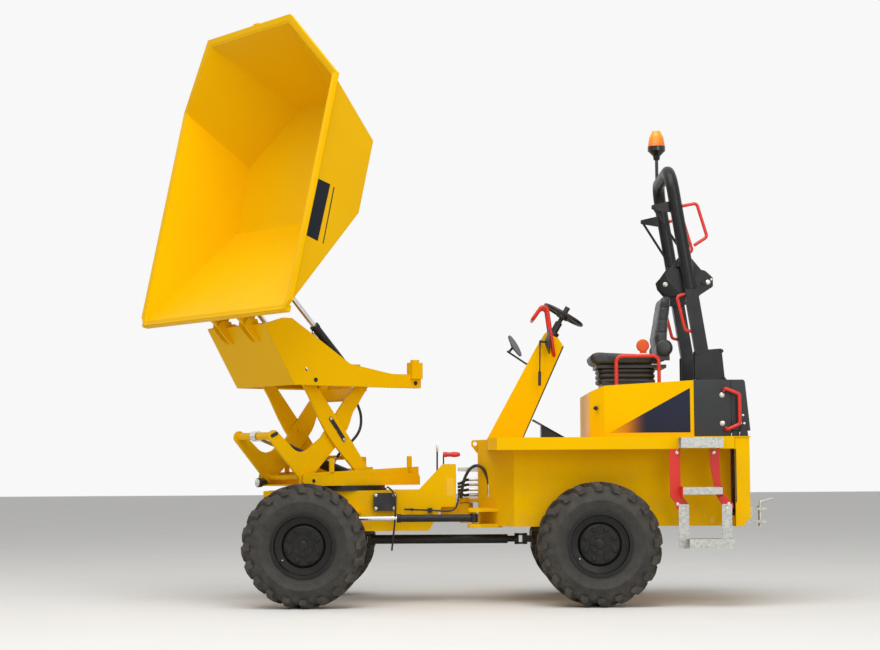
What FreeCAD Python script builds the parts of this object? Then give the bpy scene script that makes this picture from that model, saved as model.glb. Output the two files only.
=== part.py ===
import FreeCAD, Part
import math
import os

from FreeCAD import Placement, Rotation, Vector

# Site dumper: an articulated high-lift swivel dumper on four equal wheels.
# Millimetres and degrees. X forward, Y to the driver's left, Z up, ground at Z = 0.
# Lengths along the machine are taken from the point midway between the axles.
SIZES = (
    # wheels and tyres
    ("wheelbase", 2014),
    ("track", 1460),
    ("axle_height", 422.5),
    ("tyre_radius", 422.5),
    ("tyre_width", 290),
    ("tread_height", 26),
    ("lug_count", 20),
    ("lug_width", 40),
    ("lug_skew", 34),
    ("rim_radius", 222),
    ("bead_radius", 205),
    ("rim_width", 254),
    ("hub_radius", 139),
    ("spindle_radius", 30),
    ("running_fit", 0.05),
    ("seat_gap", 0.3),
    # axles and drive shaft
    ("axle_box", 110),
    ("diff_radius", 108),
    ("drum_radius", 140),
    ("shaft_height", 436),
    ("front_joint_x", 628),
    ("rear_joint_x", -523),
    ("shaft_tube_radius", 32.5),
    ("shaft_tube_bore", 27.5),
    ("spline_radius", 22),
    ("joint_pin_radius", 11),
    # articulation between the chassis
    ("articulation_x", -92),
    ("king_pin_radius", 35),
    ("steer_pin_y", 420),
    ("steer_pin_z", 596),
    ("steer_rear_x", -156),
    ("steer_front_x", 700),
    # rear chassis
    ("rear_belly_z", 537),
    ("rear_side_y", 560),
    ("nose_x", -190),
    ("nose_half", 190),
    ("eye_radius", 14),
    ("eye_ahead", 20),
    ("fold_x", -434),
    ("rear_end_x", -2036),
    ("tail_x", -1935),
    ("deck_front_x", -254),
    ("deck_top_z", 1150),
    ("deck_edge", 85),
    ("deck_half", 780),
    ("sheet_metal", 6),
    # covers over the engine
    ("cover_wall", 4),
    ("cover_half", 640),
    ("cover_front_drop", 74),
    ("cover_fold_drop", 34),
    ("cover_top_z", 1540),
    ("cover_front_x", -966),
    ("cover_corner", 94),
    ("cover_rear_x", -1678),
    ("lid_front_x", -1934),
    ("lid_rear_x", -2064),
    ("lid_hinge_x", -2016),
    ("lid_hinge_z", 1212),
    # driver's place
    ("seat_x", -1240),
    ("wheel_rim_radius", 148),
    ("wheel_tilt", 30),
    ("wheel_centre_x", -819),
    ("wheel_centre_z", 2048),
    # roll bar
    ("rops_half", 430),
    ("rops_pin_x", -1788),
    ("rops_pin_z", 2240),
    ("rops_foot_x", -1795),
    ("rops_lean", 9),
    ("rops_split_z", 2190),
    ("rops_top_z", 3040),
    ("rops_bend", 150),
    ("rops_tube", 90),
    # front chassis
    ("front_end_x", 1330),
    ("front_rear_x", -30),
    ("front_half", 300),
    ("front_plate", 12),
    ("front_bottom_z", 505),
    ("front_top_z", 790),
    ("tower_top_z", 974),
    # turntable
    ("turntable_x", 810),
    ("ring_radius", 340),
    ("ring_bore", 250),
    ("ring_height", 16),
    ("slew_rest", 40),
    # scissor lift
    ("base_bottom_z", 826),
    ("foot_pin_x", 470),
    ("foot_pin_z", 885),
    ("arm_length", 860),
    ("lift_rest", 52),
    ("arm_plate", 20),
    ("inner_arm_b", 215),
    ("outer_arm_b", 242),
    ("arm_end_radius", 43),
    ("arm_pin_radius", 18),
    ("eye_width", 60),
    ("roller_radius", 27),
    ("rail_b", 268),
    ("lever_length", 385),
    ("lever_angle", 101),
    ("lift_base_x", -110),
    ("lift_base_z", 893),
    ("lift_barrel_radius", 38),
    ("lift_rod_radius", 22),
    # top frame
    ("frame_half", 354),
    ("frame_bottom_z", 1525),
    # skip
    ("skip_pivot_x", 915),
    ("skip_pivot_z", 1950),
    ("lip_x", 1108),
    ("lip_z", 1988),
    ("skip_tip", 76.65),
    ("skip_travel", 70),
    ("skip_wall", 6),
    ("rim_strip", 30),
    ("rim_depth", 26),
    ("skip_pin_radius", 22),
    # tip cylinders
    ("tip_anchor_x", 733),
    ("tip_anchor_z", 2273),
    ("tip_base_x", 80),
    ("tip_base_z", 1605),
    ("tip_cylinder_b", 265),
    ("tip_barrel_radius", 30),
    ("tip_rod_radius", 19),
    # tow hitch
    ("hitch_pin_x", -2218),
    ("hitch_pin_radius", 14),
    # where the middle of the machine's outline lies
    ("centre_x", -31),
    ("centre_y", 275),
)

doc = FreeCAD.newDocument("SiteDumper")
sheet = doc.addObject("Spreadsheet::Sheet", "Sizes")
for row, (alias, value) in enumerate(SIZES, start=1):
    sheet.set("A%d" % row, alias)
    sheet.set("B%d" % row, str(value))
    sheet.setAlias("B%d" % row, alias)
doc.recompute()


def size(alias):
    return float(sheet.get(alias))


# Frames: each is an expression for the placement of what is drawn in it.
def step(x="0", y="0", z="0", axis="0; 0; 1", turn="0"):
    move = "create(<<vector>>; %s; %s; %s)" % (x, y, z)
    spin = "create(<<rotation>>; create(<<vector>>; %s); %s)" % (axis, turn)
    return "create(<<placement>>; %s; %s)" % (move, spin)


MACHINE = step("-Sizes.centre_x", "-Sizes.centre_y")
SLEWED = MACHINE + " * " + step("Sizes.turntable_x", turn="Sizes.slew_rest")
INNER_ARM = SLEWED + " * " + step(
    "Sizes.foot_pin_x", z="Sizes.foot_pin_z", axis="0; 1; 0", turn="Sizes.lift_rest")
OUTER_ARM = SLEWED + " * " + step(
    "Sizes.foot_pin_x",
    z="(Sizes.foot_pin_z + Sizes.arm_length * sin(Sizes.lift_rest * 1deg))",
    axis="0; 1; 0", turn="-Sizes.lift_rest")
SKIP = SLEWED + " * " + step(
    "Sizes.skip_pivot_x", z="Sizes.skip_pivot_z", axis="0; 1; 0", turn="Sizes.skip_tip")

nodes = []


def keep(feature, label, frame):
    feature.Label = label
    feature.setExpression("Placement", frame)
    nodes.append(feature)
    return feature


def weldment(label, frame, *shapes):
    # One welded piece, or several like pieces that do not touch.
    whole = shapes[0]
    if len(shapes) > 1:
        whole = shapes[0].multiFuse(list(shapes[1:]))
    whole = whole.removeSplitter()
    feature = doc.addObject("Part::Feature", label)
    feature.Shape = whole
    return keep(feature, label, frame)


def corners(points):
    # Lines and tangent arcs of a closed outline; a point is (x, y) or (x, y, radius).
    starts, ends, mids = [], [], []
    count = len(points)
    for index, point in enumerate(points):
        here = Vector(point[0], point[1], 0)
        radius = point[2] if len(point) > 2 else 0
        before = points[index - 1]
        after = points[(index + 1) % count]
        back = (Vector(before[0], before[1], 0) - here).normalize()
        ahead = (Vector(after[0], after[1], 0) - here).normalize()
        if not radius:
            starts.append(here)
            ends.append(here)
            mids.append(None)
            continue
        half = back.getAngle(ahead) / 2
        reach = radius / math.tan(half)
        middle = here + (back + ahead).normalize() * (radius / math.sin(half))
        starts.append(here + back * reach)
        ends.append(here + ahead * reach)
        mids.append(middle + (here - middle).normalize() * radius)
    geometry = []
    for index in range(count):
        if mids[index] is not None:
            geometry.append(Part.Arc(starts[index], mids[index], ends[index]))
        following = starts[(index + 1) % count]
        if (following - ends[index]).Length > 1e-6:
            geometry.append(Part.LineSegment(ends[index], following))
    return geometry


def face(points):
    return Part.Face(Part.Wire([curve.toShape() for curve in corners(points)]))


def side(points, start, thickness):
    # A plate whose outline is (x, z), from y = start.
    plate = face(points)
    plate.rotate(Vector(), Vector(1, 0, 0), 90)
    plate.translate(Vector(0, start, 0))
    return plate.extrude(Vector(0, thickness, 0))


def plan(points, start, thickness):
    # A plate whose outline is (x, y), from z = start.
    plate = face(points)
    plate.translate(Vector(0, 0, start))
    return plate.extrude(Vector(0, 0, thickness))


def across(points, start, thickness):
    # A plate whose outline is (y, z), from x = start.
    plate = face(points)
    plate.rotate(Vector(), Vector(1, 1, 1), 120)
    plate.translate(Vector(start, 0, 0))
    return plate.extrude(Vector(thickness, 0, 0))


def block(low, high):
    return Part.makeBox(high[0] - low[0], high[1] - low[1], high[2] - low[2], Vector(*low))


def bar(start, end, radius):
    line = Vector(*end) - Vector(*start)
    return Part.makeCylinder(radius, line.Length, Vector(*start), line)


def cross_bar(x, z, low, high, radius):
    return bar((x, low, z), (x, high, z), radius)


def mirrored(shape):
    return shape.mirror(Vector(), Vector(0, 1, 0))


def both_sides(*shapes):
    return [piece for shape in shapes for piece in (shape, mirrored(shape))]


def bent_bar(points, radius, bend):
    # A round bar through points in space, with tangent arcs at its corners.
    vectors = [Vector(*point) for point in points]
    pieces = []
    last = vectors[0]
    for index in range(1, len(vectors) - 1):
        here = vectors[index]
        back = (vectors[index - 1] - here).normalize()
        ahead = (vectors[index + 1] - here).normalize()
        half = back.getAngle(ahead) / 2
        first = here + back * (bend / math.tan(half))
        middle = here + (back + ahead).normalize() * (bend / math.sin(half))
        pieces.append(Part.makeCylinder(radius, (first - last).Length, last, first - last))
        section = Part.Face(Part.Wire(Part.Circle(first, back, radius).toShape()))
        turn = 180 - math.degrees(2 * half)
        pieces.append(section.revolve(middle, ahead.cross(back), turn))
        last = here + ahead * (bend / math.tan(half))
    pieces.append(Part.makeCylinder(radius, (vectors[-1] - last).Length, last, vectors[-1] - last))
    return pieces[0].multiFuse(pieces[1:]).removeSplitter()


def turned(points, axis=Vector(0, 1, 0)):
    # A revolved solid; a point is (radius, place along the axis[, corner radius]).
    profile = face(points)
    if abs(axis.y) > 0.5:
        whole = profile.revolve(Vector(), Vector(0, 1, 0), 360)
    else:
        profile.rotate(Vector(), Vector(1, 0, 0), 90)
        whole = profile.revolve(Vector(), Vector(0, 0, 1), 360)
    return Part.Solid(whole) if whole.ShapeType != "Solid" else whole


def turned_body(label, frame, points, plane="XY_Plane", axis="V_Axis"):
    # A PartDesign body with one revolved sketch.
    body = doc.addObject("PartDesign::Body", label)
    sketch = body.newObject("Sketcher::SketchObject", label + "_profile")
    origin = [item for item in body.Origin.OriginFeatures if item.Role == plane][0]
    sketch.AttachmentSupport = [(origin, "")]
    sketch.MapMode = "FlatFace"
    for curve in corners(points):
        sketch.addGeometry(curve)
    turn = body.newObject("PartDesign::Revolution", label + "_turn")
    turn.Profile = sketch
    turn.ReferenceAxis = (sketch, [axis])
    turn.Angle = 360
    body.Tip = turn
    return keep(body, label, frame)


# Tyres: a carcass with 20 lugs a side, staggered by half a pitch
WHEELS = (
    # name, sign along the machine, sign across it
    ("front_left", 1, 1),
    ("front_right", 1, -1),
    ("rear_left", -1, 1),
    ("rear_right", -1, -1),
)


def tyre_shape():
    outer = size("tyre_radius")
    half = size("tyre_width") / 2
    bead = size("bead_radius")
    tread = outer - size("tread_height")
    flange = size("rim_width") / 2 - 9
    carcass = turned([
        (bead, -flange), (bead + 22, -flange), (300, -half), (tread - 22, 26 - half), (tread, 52 - half),
        (tread, half - 52), (tread - 22, half - 26), (300, half), (bead + 22, flange), (bead, flange)])
    envelope = turned([
        (tread - 50, 1 - half), (outer - 30, 1 - half), (outer, 44 - half), (outer, half - 44),
        (outer - 30, half - 1), (tread - 50, half - 1)])
    width = size("lug_width") / 2
    lug = plan([(-width, -14), (width, -14), (width, half + 20), (-width, half + 20)],
               tread - 34, outer - tread + 40)
    lug.rotate(Vector(0, half, 0), Vector(0, 0, 1), size("lug_skew"))
    lug = envelope.common(lug)
    other = mirrored(lug)
    count = int(size("lug_count"))
    pitch = 360.0 / count
    lugs = []
    for index in range(count):
        for shape, turn in ((lug, index), (other, index + 0.5)):
            copy = shape.copy()
            copy.rotate(Vector(), Vector(0, 1, 0), pitch * turn)
            lugs.append(copy)
    return carcass.multiFuse(lugs)


def rim_points():
    flange = size("rim_radius")
    bead = size("bead_radius") - size("seat_gap")
    half = size("rim_width") / 2
    hub = size("hub_radius")
    bore = size("spindle_radius") + size("running_fit")
    well = bead - 9
    return [
        (flange, half - 8), (flange, half), (bead - 5, half), (well, half - 15), (well, 66),
        (hub + 11, 58), (hub, 50), (hub, 78), (hub - 11, 84), (70, 84), (70, 96), (0, 96),
        (0, 60), (bore, 60), (bore, -20), (75, -20), (75, 20), (hub, 36), (well - 9, 50),
        (well - 9, 15 - half), (bead - 5, -half), (flange, -half), (flange, 8 - half),
        (bead, 8 - half), (bead, half - 8)]


tyre = tyre_shape()
for name, along, sideways in WHEELS:
    place = step("%d * Sizes.wheelbase / 2" % along, "%d * Sizes.track / 2" % sideways,
                 "Sizes.axle_height", turn="0" if sideways > 0 else "180")
    hub_frame = MACHINE + " * " + place
    tyre_frame = MACHINE + " * " + step(
        "%d * Sizes.wheelbase / 2" % along, "%d * Sizes.track / 2" % sideways, "Sizes.axle_height")
    turned_body("rim_" + name, hub_frame, rim_points())
    feature = doc.addObject("Part::Feature", "tyre_" + name)
    feature.Shape = tyre
    keep(feature, "tyre_" + name, tyre_frame)


# Axles: a box beam with a round differential case, pads, drums and spindles
def axle_shapes(axle_x, pad_top, nose_x):
    height = size("axle_height")
    half_box = size("axle_box") / 2
    hub_face = size("track") / 2 - 20
    tip = size("track") / 2 + 55
    beam = block((axle_x - half_box, -hub_face + 100, height - half_box),
                 (axle_x + half_box, hub_face - 100, height + half_box))
    case = turned([(0, -115), (70, -115), (size("diff_radius"), -50), (size("diff_radius"), 50),
                   (70, 115), (0, 115)])
    case.translate(Vector(axle_x, 0, height))
    toward = 1 if nose_x > axle_x else -1
    nose = bar((axle_x, 0, size("shaft_height")), (nose_x - toward * 52, 0, size("shaft_height")), 52)
    flange = bar((nose_x - toward * 64, 0, size("shaft_height")),
                 (nose_x - toward * 46, 0, size("shaft_height")), 60)
    tongue = block((min(nose_x - toward * 50, nose_x + toward * 18), -20, size("shaft_height") - 24),
                   (max(nose_x - toward * 50, nose_x + toward * 18), 20, size("shaft_height") + 24))
    bore = bar((nose_x, 0, size("shaft_height") - 60), (nose_x, 0, size("shaft_height") + 60),
               size("joint_pin_radius") + size("running_fit"))
    pieces = [beam, case, nose, flange, tongue.cut(bore)]
    for sideways in (1, -1):
        drum = cross_bar(axle_x, height, sideways * (hub_face - 100), sideways * (hub_face - 5.3),
                         size("drum_radius"))
        spindle = cross_bar(axle_x, height, sideways * (hub_face - 5.3), sideways * tip,
                            size("spindle_radius"))
        pad = block((axle_x - 75, sideways * 250 - 45, height + half_box - 5),
                    (axle_x + 75, sideways * 250 + 45, pad_top))
        pieces += [drum, spindle, pad]
    return pieces


half_base = size("wheelbase") / 2
weldment("rear_axle", MACHINE, *axle_shapes(-half_base, size("rear_belly_z"), size("rear_joint_x")))
weldment("front_axle", MACHINE, *axle_shapes(half_base, size("front_bottom_z"), size("front_joint_x")))


# Drive shaft: a tube from the front axle and a splined stub from the rear, sliding in it
def shaft_fork(joint_x, toward, radius):
    middle = size("shaft_height")
    pieces = []
    for up in (1, -1):
        pieces.append(block((joint_x - 18, -18, middle + 24.5 if up > 0 else middle - 38),
                            (joint_x + 18, 18, middle + 38 if up > 0 else middle - 24.5)))
        low = (min(joint_x, joint_x + toward * 62), -18, middle + 24.5 if up > 0 else middle - 38)
        high = (max(joint_x, joint_x + toward * 62), 18, middle + 38 if up > 0 else middle - 24.5)
        pieces.append(block(low, high))
    pieces.append(bar((joint_x + toward * 44, 0, middle), (joint_x + toward * 74, 0, middle), 40))
    pieces.append(bar((joint_x + toward * 70, 0, middle), (joint_x + toward * 110, 0, middle), radius))
    pieces.append(bar((joint_x, 0, middle - 40), (joint_x, 0, middle + 40), size("joint_pin_radius")))
    return pieces


tube_rear_x = -400
tube = bar((size("front_joint_x") - 100, 0, size("shaft_height")), (tube_rear_x, 0, size("shaft_height")),
           size("shaft_tube_radius"))
hollow = bar((tube_rear_x - 1, 0, size("shaft_height")), (size("front_joint_x") - 300, 0, size("shaft_height")),
             size("shaft_tube_bore"))
weldment("shaft_tube", MACHINE, tube.cut(hollow),
         *shaft_fork(size("front_joint_x"), -1, size("shaft_tube_radius")))
spline = bar((size("rear_joint_x") + 100, 0, size("shaft_height")), (-180, 0, size("shaft_height")),
             size("spline_radius"))
weldment("shaft_spline", MACHINE, spline, *shaft_fork(size("rear_joint_x"), 1, size("spline_radius")))


def hull_outline(gap=0):
    # The chassis box in plan: a tapered nose that widens to the full width at the fold.
    nose, half = size("nose_half") + gap, size("rear_side_y") + gap
    return [(size("nose_x") + gap, -nose), (size("nose_x") + gap, nose), (size("fold_x"), half),
            (size("tail_x"), half), (size("tail_x"), -half), (size("fold_x"), -half)]


# Rear chassis: a deep closed box with a tapered nose, a fork for the king pin and a tail
def rear_frame():
    belly = size("rear_belly_z")
    top = size("deck_top_z") - size("sheet_metal")
    half = size("rear_side_y")
    nose = size("nose_half")
    hull = plan(hull_outline(), belly, top - belly)
    wall = 14
    inner = [(size("nose_x") - 20, -nose + 30), (size("nose_x") - 20, nose - 30),
             (size("fold_x") - 8, half - wall), (size("tail_x") + wall, half - wall),
             (size("tail_x") + wall, -half + wall), (size("fold_x") - 8, -half + wall)]
    hull = hull.cut(plan(inner, belly + wall, top - belly))
    tail_half = size("deck_half") - size("sheet_metal") - 1.3
    tail = side([(size("tail_x"), belly), (size("rear_end_x") + 55, belly),
                 (size("rear_end_x"), belly + 58), (size("rear_end_x"), top),
                 (size("tail_x"), top)], -tail_half, 2 * tail_half)
    tail = tail.cut(block((size("rear_end_x") + 14, -tail_half + 12, belly + 70),
                          (size("tail_x") + 1, tail_half - 12, top - 12)))
    pieces = [hull, tail]
    pivot = size("articulation_x")
    for low in (560, 700):
        fork = plan([(size("nose_x") - 40, -130), (size("nose_x") + 6, -130), (pivot, -55, 20),
                     (pivot + 55, -55, 50), (pivot + 55, 55, 50), (pivot, 55, 20),
                     (size("nose_x") + 6, 130), (size("nose_x") - 40, 130)], low, 25)
        pieces.append(fork.cut(bar((pivot, 0, low - 5), (pivot, 0, low + 30),
                                   size("king_pin_radius") + size("running_fit"))))
    eye_x = size("nose_x") + size("eye_ahead")
    eye = side([(size("nose_x") - 8, top - 92), (size("nose_x") + 6, top - 92), (eye_x + 27, top - 40, 8),
                (eye_x + 27, top + 2, 16), (size("nose_x") - 8, top + 2)], -10, 20)
    eye = eye.cut(cross_bar(eye_x, top - 26, -12, 12, size("eye_radius")))
    pieces.append(eye)
    return pieces


def steer_bracket():
    pieces = []
    pin_x, pin_y, pin_z = size("steer_rear_x"), size("steer_pin_y"), size("steer_pin_z")
    for low in (pin_z - 68, pin_z + 42):
        pieces.append(plan([(pin_x - 200, 250), (size("nose_x") - 30, 150), (pin_x + 44, pin_y - 40, 10),
                            (pin_x + 44, pin_y + 36, 34), (pin_x - 44, pin_y + 36, 20),
                            (pin_x - 200, 372)], low, 26))
    pieces.append(bar((pin_x, pin_y, pin_z - 70), (pin_x, pin_y, pin_z + 70), 17))
    return pieces


weldment("rear_frame", MACHINE, *rear_frame(), *steer_bracket())


# Deck: a plate with a folded edge all round, resting on the chassis box
def deck():
    top, thick = size("deck_top_z"), size("sheet_metal")
    half, edge = size("deck_half"), size("deck_edge")
    front, rear = size("deck_front_x"), size("rear_end_x") - 10
    outline = [(front, -half + 120), (front, half - 120), (front - 60, half), (rear, half),
               (rear, -half), (front - 60, -half)]
    plate = plan(outline, top - thick, thick)
    skirt = plan(outline, top - edge, edge)
    inner = [(front - thick, -half + 120 + thick), (front - thick, half - 120 - thick),
             (front - 60 - thick, half - thick - 1), (rear + thick, half - thick - 1),
             (rear + thick, -half + thick + 1), (front - 60 - thick, -half + thick + 1)]
    skirt = skirt.cut(plan(inner, top - edge - 1, edge + 2))
    skirt = skirt.cut(block((size("tail_x") - 200, -half - 1, top - edge - 1),
                            (size("tail_x") + 2, half + 1, top - thick)))
    skirt = skirt.cut(plan(hull_outline(0.5), top - edge - 1, edge + 1 - thick))
    return [plate, skirt]


weldment("deck", MACHINE, *deck())

# Engine and cooling pack as one plain block, closed in by the covers
weldment("engine_block", MACHINE, block((-1820, -330, size("rear_belly_z") + 14), (-1080, 330, size("deck_top_z") - 26)))


# Engine cover: a folded hood with cut front corners and a top that falls to the front
def hood(inset):
    front, rear = size("cover_front_x") - inset, size("cover_rear_x")
    half, corner = size("cover_half") - inset, size("cover_corner") - inset * 0.6
    low, high = size("deck_top_z") + size("seat_gap"), size("cover_top_z") - inset
    if inset:
        rear, low = rear - 1, low - 1
    fold = front - corner
    outline = [(front, -half + corner), (front, half - corner), (fold, half), (rear, half),
               (rear, -half), (fold, -half)]
    profile = [(front, low), (front, high - size("cover_front_drop")), (fold, high - size("cover_fold_drop")),
               (rear, high), (rear, low)]
    return plan(outline, low, high - low).common(side(profile, -half, 2 * half))


def cover_top_at(x):
    # Height of the hood's falling top.
    fold = size("cover_front_x") - size("cover_corner")
    return size("cover_top_z") - size("cover_fold_drop") * (x - size("cover_rear_x")) / (fold - size("cover_rear_x"))


weldment("engine_cover", MACHINE, hood(0).cut(hood(size("cover_wall"))))
rear_cover = block((size("lid_front_x") + 2, -size("cover_half") - 4, size("deck_top_z") + size("seat_gap")),
                   (size("cover_rear_x") - 1, size("cover_half") + 4, size("cover_top_z") + 2))
rear_cover = rear_cover.cut(block((size("lid_front_x"), -size("cover_half"), size("deck_top_z")),
                                  (size("cover_rear_x"), size("cover_half"), size("cover_top_z") - 2)))
weldment("rear_cover", MACHINE, rear_cover)


# Rear lid: a hinged tail shell, its hinge straps low on both sides
def rear_lid():
    front, rear = size("lid_front_x"), size("lid_rear_x")
    half, high = size("cover_half") + 4, size("cover_top_z") + 2
    hinge_x, hinge_z = size("lid_hinge_x"), size("lid_hinge_z")
    # The front edge slants back below, so that it swings past the fixed cover
    outline = [(front - 8, hinge_z - 22), (front, hinge_z + 60), (front, high), (rear + 34, high, 20),
               (rear, hinge_z - 22)]
    inner = [(front + 1, hinge_z - 30), (front + 1, high - 5), (rear + 38, high - 5, 16),
             (rear + 5, hinge_z - 30)]
    body = side(outline, -half, 2 * half).cut(side(inner, -half + 5, 2 * half - 10))
    pieces = [body]
    for sideways in (1, -1):
        low = sideways * half
        pieces.append(cross_bar(hinge_x, hinge_z, low, low + sideways * 14, 13))
    return pieces


weldment("rear_lid", MACHINE, *rear_lid())

# Hinge brackets of the rear lid, standing on the deck outside it
brackets = []
for sideways in (1, -1):
    low = sideways * (size("cover_half") + 4 + 14.5)
    bracket = side([(size("lid_hinge_x") - 30, size("deck_top_z")), (size("lid_hinge_x") + 30, size("deck_top_z")),
                    (size("lid_hinge_x") + 18, size("lid_hinge_z") + 18, 14),
                    (size("lid_hinge_x") - 18, size("lid_hinge_z") + 18, 14)],
                   min(low, low + sideways * 8), 8)
    brackets.append(bracket)
weldment("lid_brackets", MACHINE, *brackets)


# Steering column: a tapered folded pillar leaning back to the wheel
def column():
    top = size("deck_top_z")
    outline = [(-256, top), (-507, top), (-809, 1822, 12), (-773, 1876, 14), (-682, 1917, 14), (-614, 1806, 14)]
    return side(outline, -95, 190)


pillar = column()
weldment("steering_column", MACHINE, pillar)
weldment("column_guard", MACHINE,
         bent_bar([(-745, 82, 1740), (-736, 118, 1786), (-690, 118, 2150), (-592, 118, 2012),
                   (-592, -118, 2012), (-690, -118, 2150), (-736, -118, 1786), (-745, -82, 1740)], 13, 30).cut(pillar))

# Steering wheel on its own shaft, tilted toward the driver
def steering_wheel():
    radius = size("wheel_rim_radius")
    ring = Part.makeTorus(radius, 13)
    hub = Part.makeCylinder(42, 34, Vector(0, 0, -30))
    pieces = [ring, hub]
    for turn in (0, 120, 240):
        spoke = block((20, -14, -8), (radius, 14, 4))
        spoke.rotate(Vector(), Vector(0, 0, 1), turn)
        pieces.append(spoke)
    pieces.append(Part.makeCylinder(19, 44, Vector(0, radius, 6)))
    pieces.append(Part.makeCylinder(16, 34, Vector(0, 0, -62)))
    return pieces


STEERING_WHEEL = MACHINE + " * " + step(
    "Sizes.wheel_centre_x", "0", "Sizes.wheel_centre_z", "0; 1; 0", "-Sizes.wheel_tilt")
weldment("steering_wheel", STEERING_WHEEL, *steering_wheel())
lean = math.radians(size("wheel_tilt"))
stem_top = (size("wheel_centre_x") + 62.5 * math.sin(lean), 0, size("wheel_centre_z") - 62.5 * math.cos(lean))
stem_foot = (size("wheel_centre_x") + 190 * math.sin(lean), 0, size("wheel_centre_z") - 190 * math.cos(lean))
stem_collar = (stem_foot[0] - 50 * math.sin(lean), 0, stem_foot[2] + 50 * math.cos(lean))
weldment("steering_stem", MACHINE,
         bar(stem_foot, stem_top, 26).fuse(bar(stem_foot, stem_collar, 44)).cut(pillar))

# Pedal box on the deck: a wedge with the foot plate along its top
def pedal_box():
    top = size("deck_top_z")
    wedge = side([(-654, top), (-838, top), (-838, top + 6), (-654, top + 112)], -290, 180)
    foot_plate = side([(-596, top + 146), (-852, top), (-838, top), (-590, top + 140)], -300, 200)
    return [wedge, foot_plate]


weldment("pedal_box", MACHINE, *pedal_box())


# Round mirrors on rods from the column, and the hanging lever on the left one
def mirrors():
    left = [bar((-644, 95.3, 1846), (-644, 198, 1846), 9),
            bar((-640, 190, 1846), (-690, 190, 1838), 9),
            bar((-640, 190, 1850), (-634, 190, 1560), 5),
            bar((-635, 190, 1630), (-633, 190, 1528), 11),
            Part.makeCone(20, 86, 26, Vector(-676, 190, 1838), Vector(-1, 0, 0)),
            Part.makeCylinder(86, 8, Vector(-700, 190, 1838), Vector(-1, 0, 0))]
    right = [bar((-560, -95.3, 1700), (-560, -190, 1700), 8),
             bar((-560, -190, 1700), (-412, -190, 1800), 7),
             bar((-424, -190, 1790), (-462, -190, 1836), 9),
             Part.makeCone(20, 88, 24, Vector(-450, -190, 1826), Vector(-0.8, 0.25, 0.45)),
             Part.makeCylinder(88, 7, Vector(-467, -185, 1836), Vector(-0.8, 0.25, 0.45))]
    return [pieces[0].multiFuse(pieces[1:]) for pieces in (left, right)]


weldment("mirrors", MACHINE, *mirrors())

# Seating: suspension base, cushion and back, with an armrest hoop each side
seat = size("seat_x")
cover_top = size("cover_top_z")
weldment("seat_base", MACHINE,
         side([(seat - 220, cover_top_at(seat - 220)), (seat + 160, cover_top_at(seat + 160)),
               (seat + 160, cover_top + 20), (seat - 220, cover_top + 20)], -180, 360),
         block((seat - 200, -160, cover_top + 20), (seat + 150, 160, cover_top + 110)),
         block((seat - 300, -190, cover_top + 110), (seat + 200, 190, cover_top + 134)))
weldment("seat_cushion", MACHINE,
         side([(seat - 225, cover_top + 134.3), (seat + 225, cover_top + 134.3),
               (seat + 262, cover_top + 180, 20), (seat + 235, cover_top + 222, 25),
               (seat - 225, cover_top + 205, 20)], -235, 470))
weldment("seat_back", MACHINE,
         side([(seat - 228.5, cover_top + 134.3), (seat - 228.5, cover_top + 260), (seat - 212, cover_top + 330, 60),
               (seat - 268, cover_top + 640, 30), (seat - 345, cover_top + 640, 30),
               (seat - 300, cover_top + 134.3, 20)], -235, 470))
hoops = []
for sideways in (1, -1):
    y = sideways * 300
    hoop = bent_bar([(seat - 236, y, cover_top - 40), (seat - 236, y, cover_top + 190),
                     (seat + 66, y, cover_top + 190), (seat + 66, y, cover_top - 40)], 13, 45)
    hoops.append(hoop.cut(hood(0)))
weldment("armrest_hoops", MACHINE, *hoops)


# Roll bar: two fixed posts behind the driver, and a hoop that folds back on hinge plates
def rops_line(z):
    # Where the middle of the leaning posts lies at a height.
    return size("rops_foot_x") + math.tan(math.radians(size("rops_lean"))) * (z - size("cover_top_z"))


def rops_lower():
    half, tube = size("rops_half"), size("rops_tube") / 2
    low, split = size("cover_top_z") + 2, size("rops_split_z")
    pin_x, pin_z = size("rops_pin_x"), size("rops_pin_z")
    pieces = []
    for sideways in (1, -1):
        y = sideways * half
        pieces.append(block((-1926, y - 70, low), (-1706, y + 70, low + 12)))
        pieces.append(side([(rops_line(low) - tube, low), (rops_line(low) + tube, low),
                            (rops_line(split) + tube, split), (rops_line(split) - tube, split)],
                           y - tube, 2 * tube))
        for offset in (-tube - 10, tube):
            pieces.append(side([(-1917, low), (-1710, low), (-1710, low + 212, 8), (-1896, low + 226, 8)],
                               y + offset, 10))
        inner = y - sideways * (tube + 6)
        pieces.append(side([(-1650, 2130, 20), (-1760, 2150, 14), (-1857, 2212, 16), (-1857, 2275, 16),
                            (-1800, 2330, 60), (-1560, 2345, 20), (-1528, 2310, 14), (-1540, 2262, 14)],
                           inner - 6, 12))
        pieces.append(cross_bar(pin_x, pin_z, inner - sideways * 22, inner + sideways * 20, 14))
    return pieces


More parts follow.
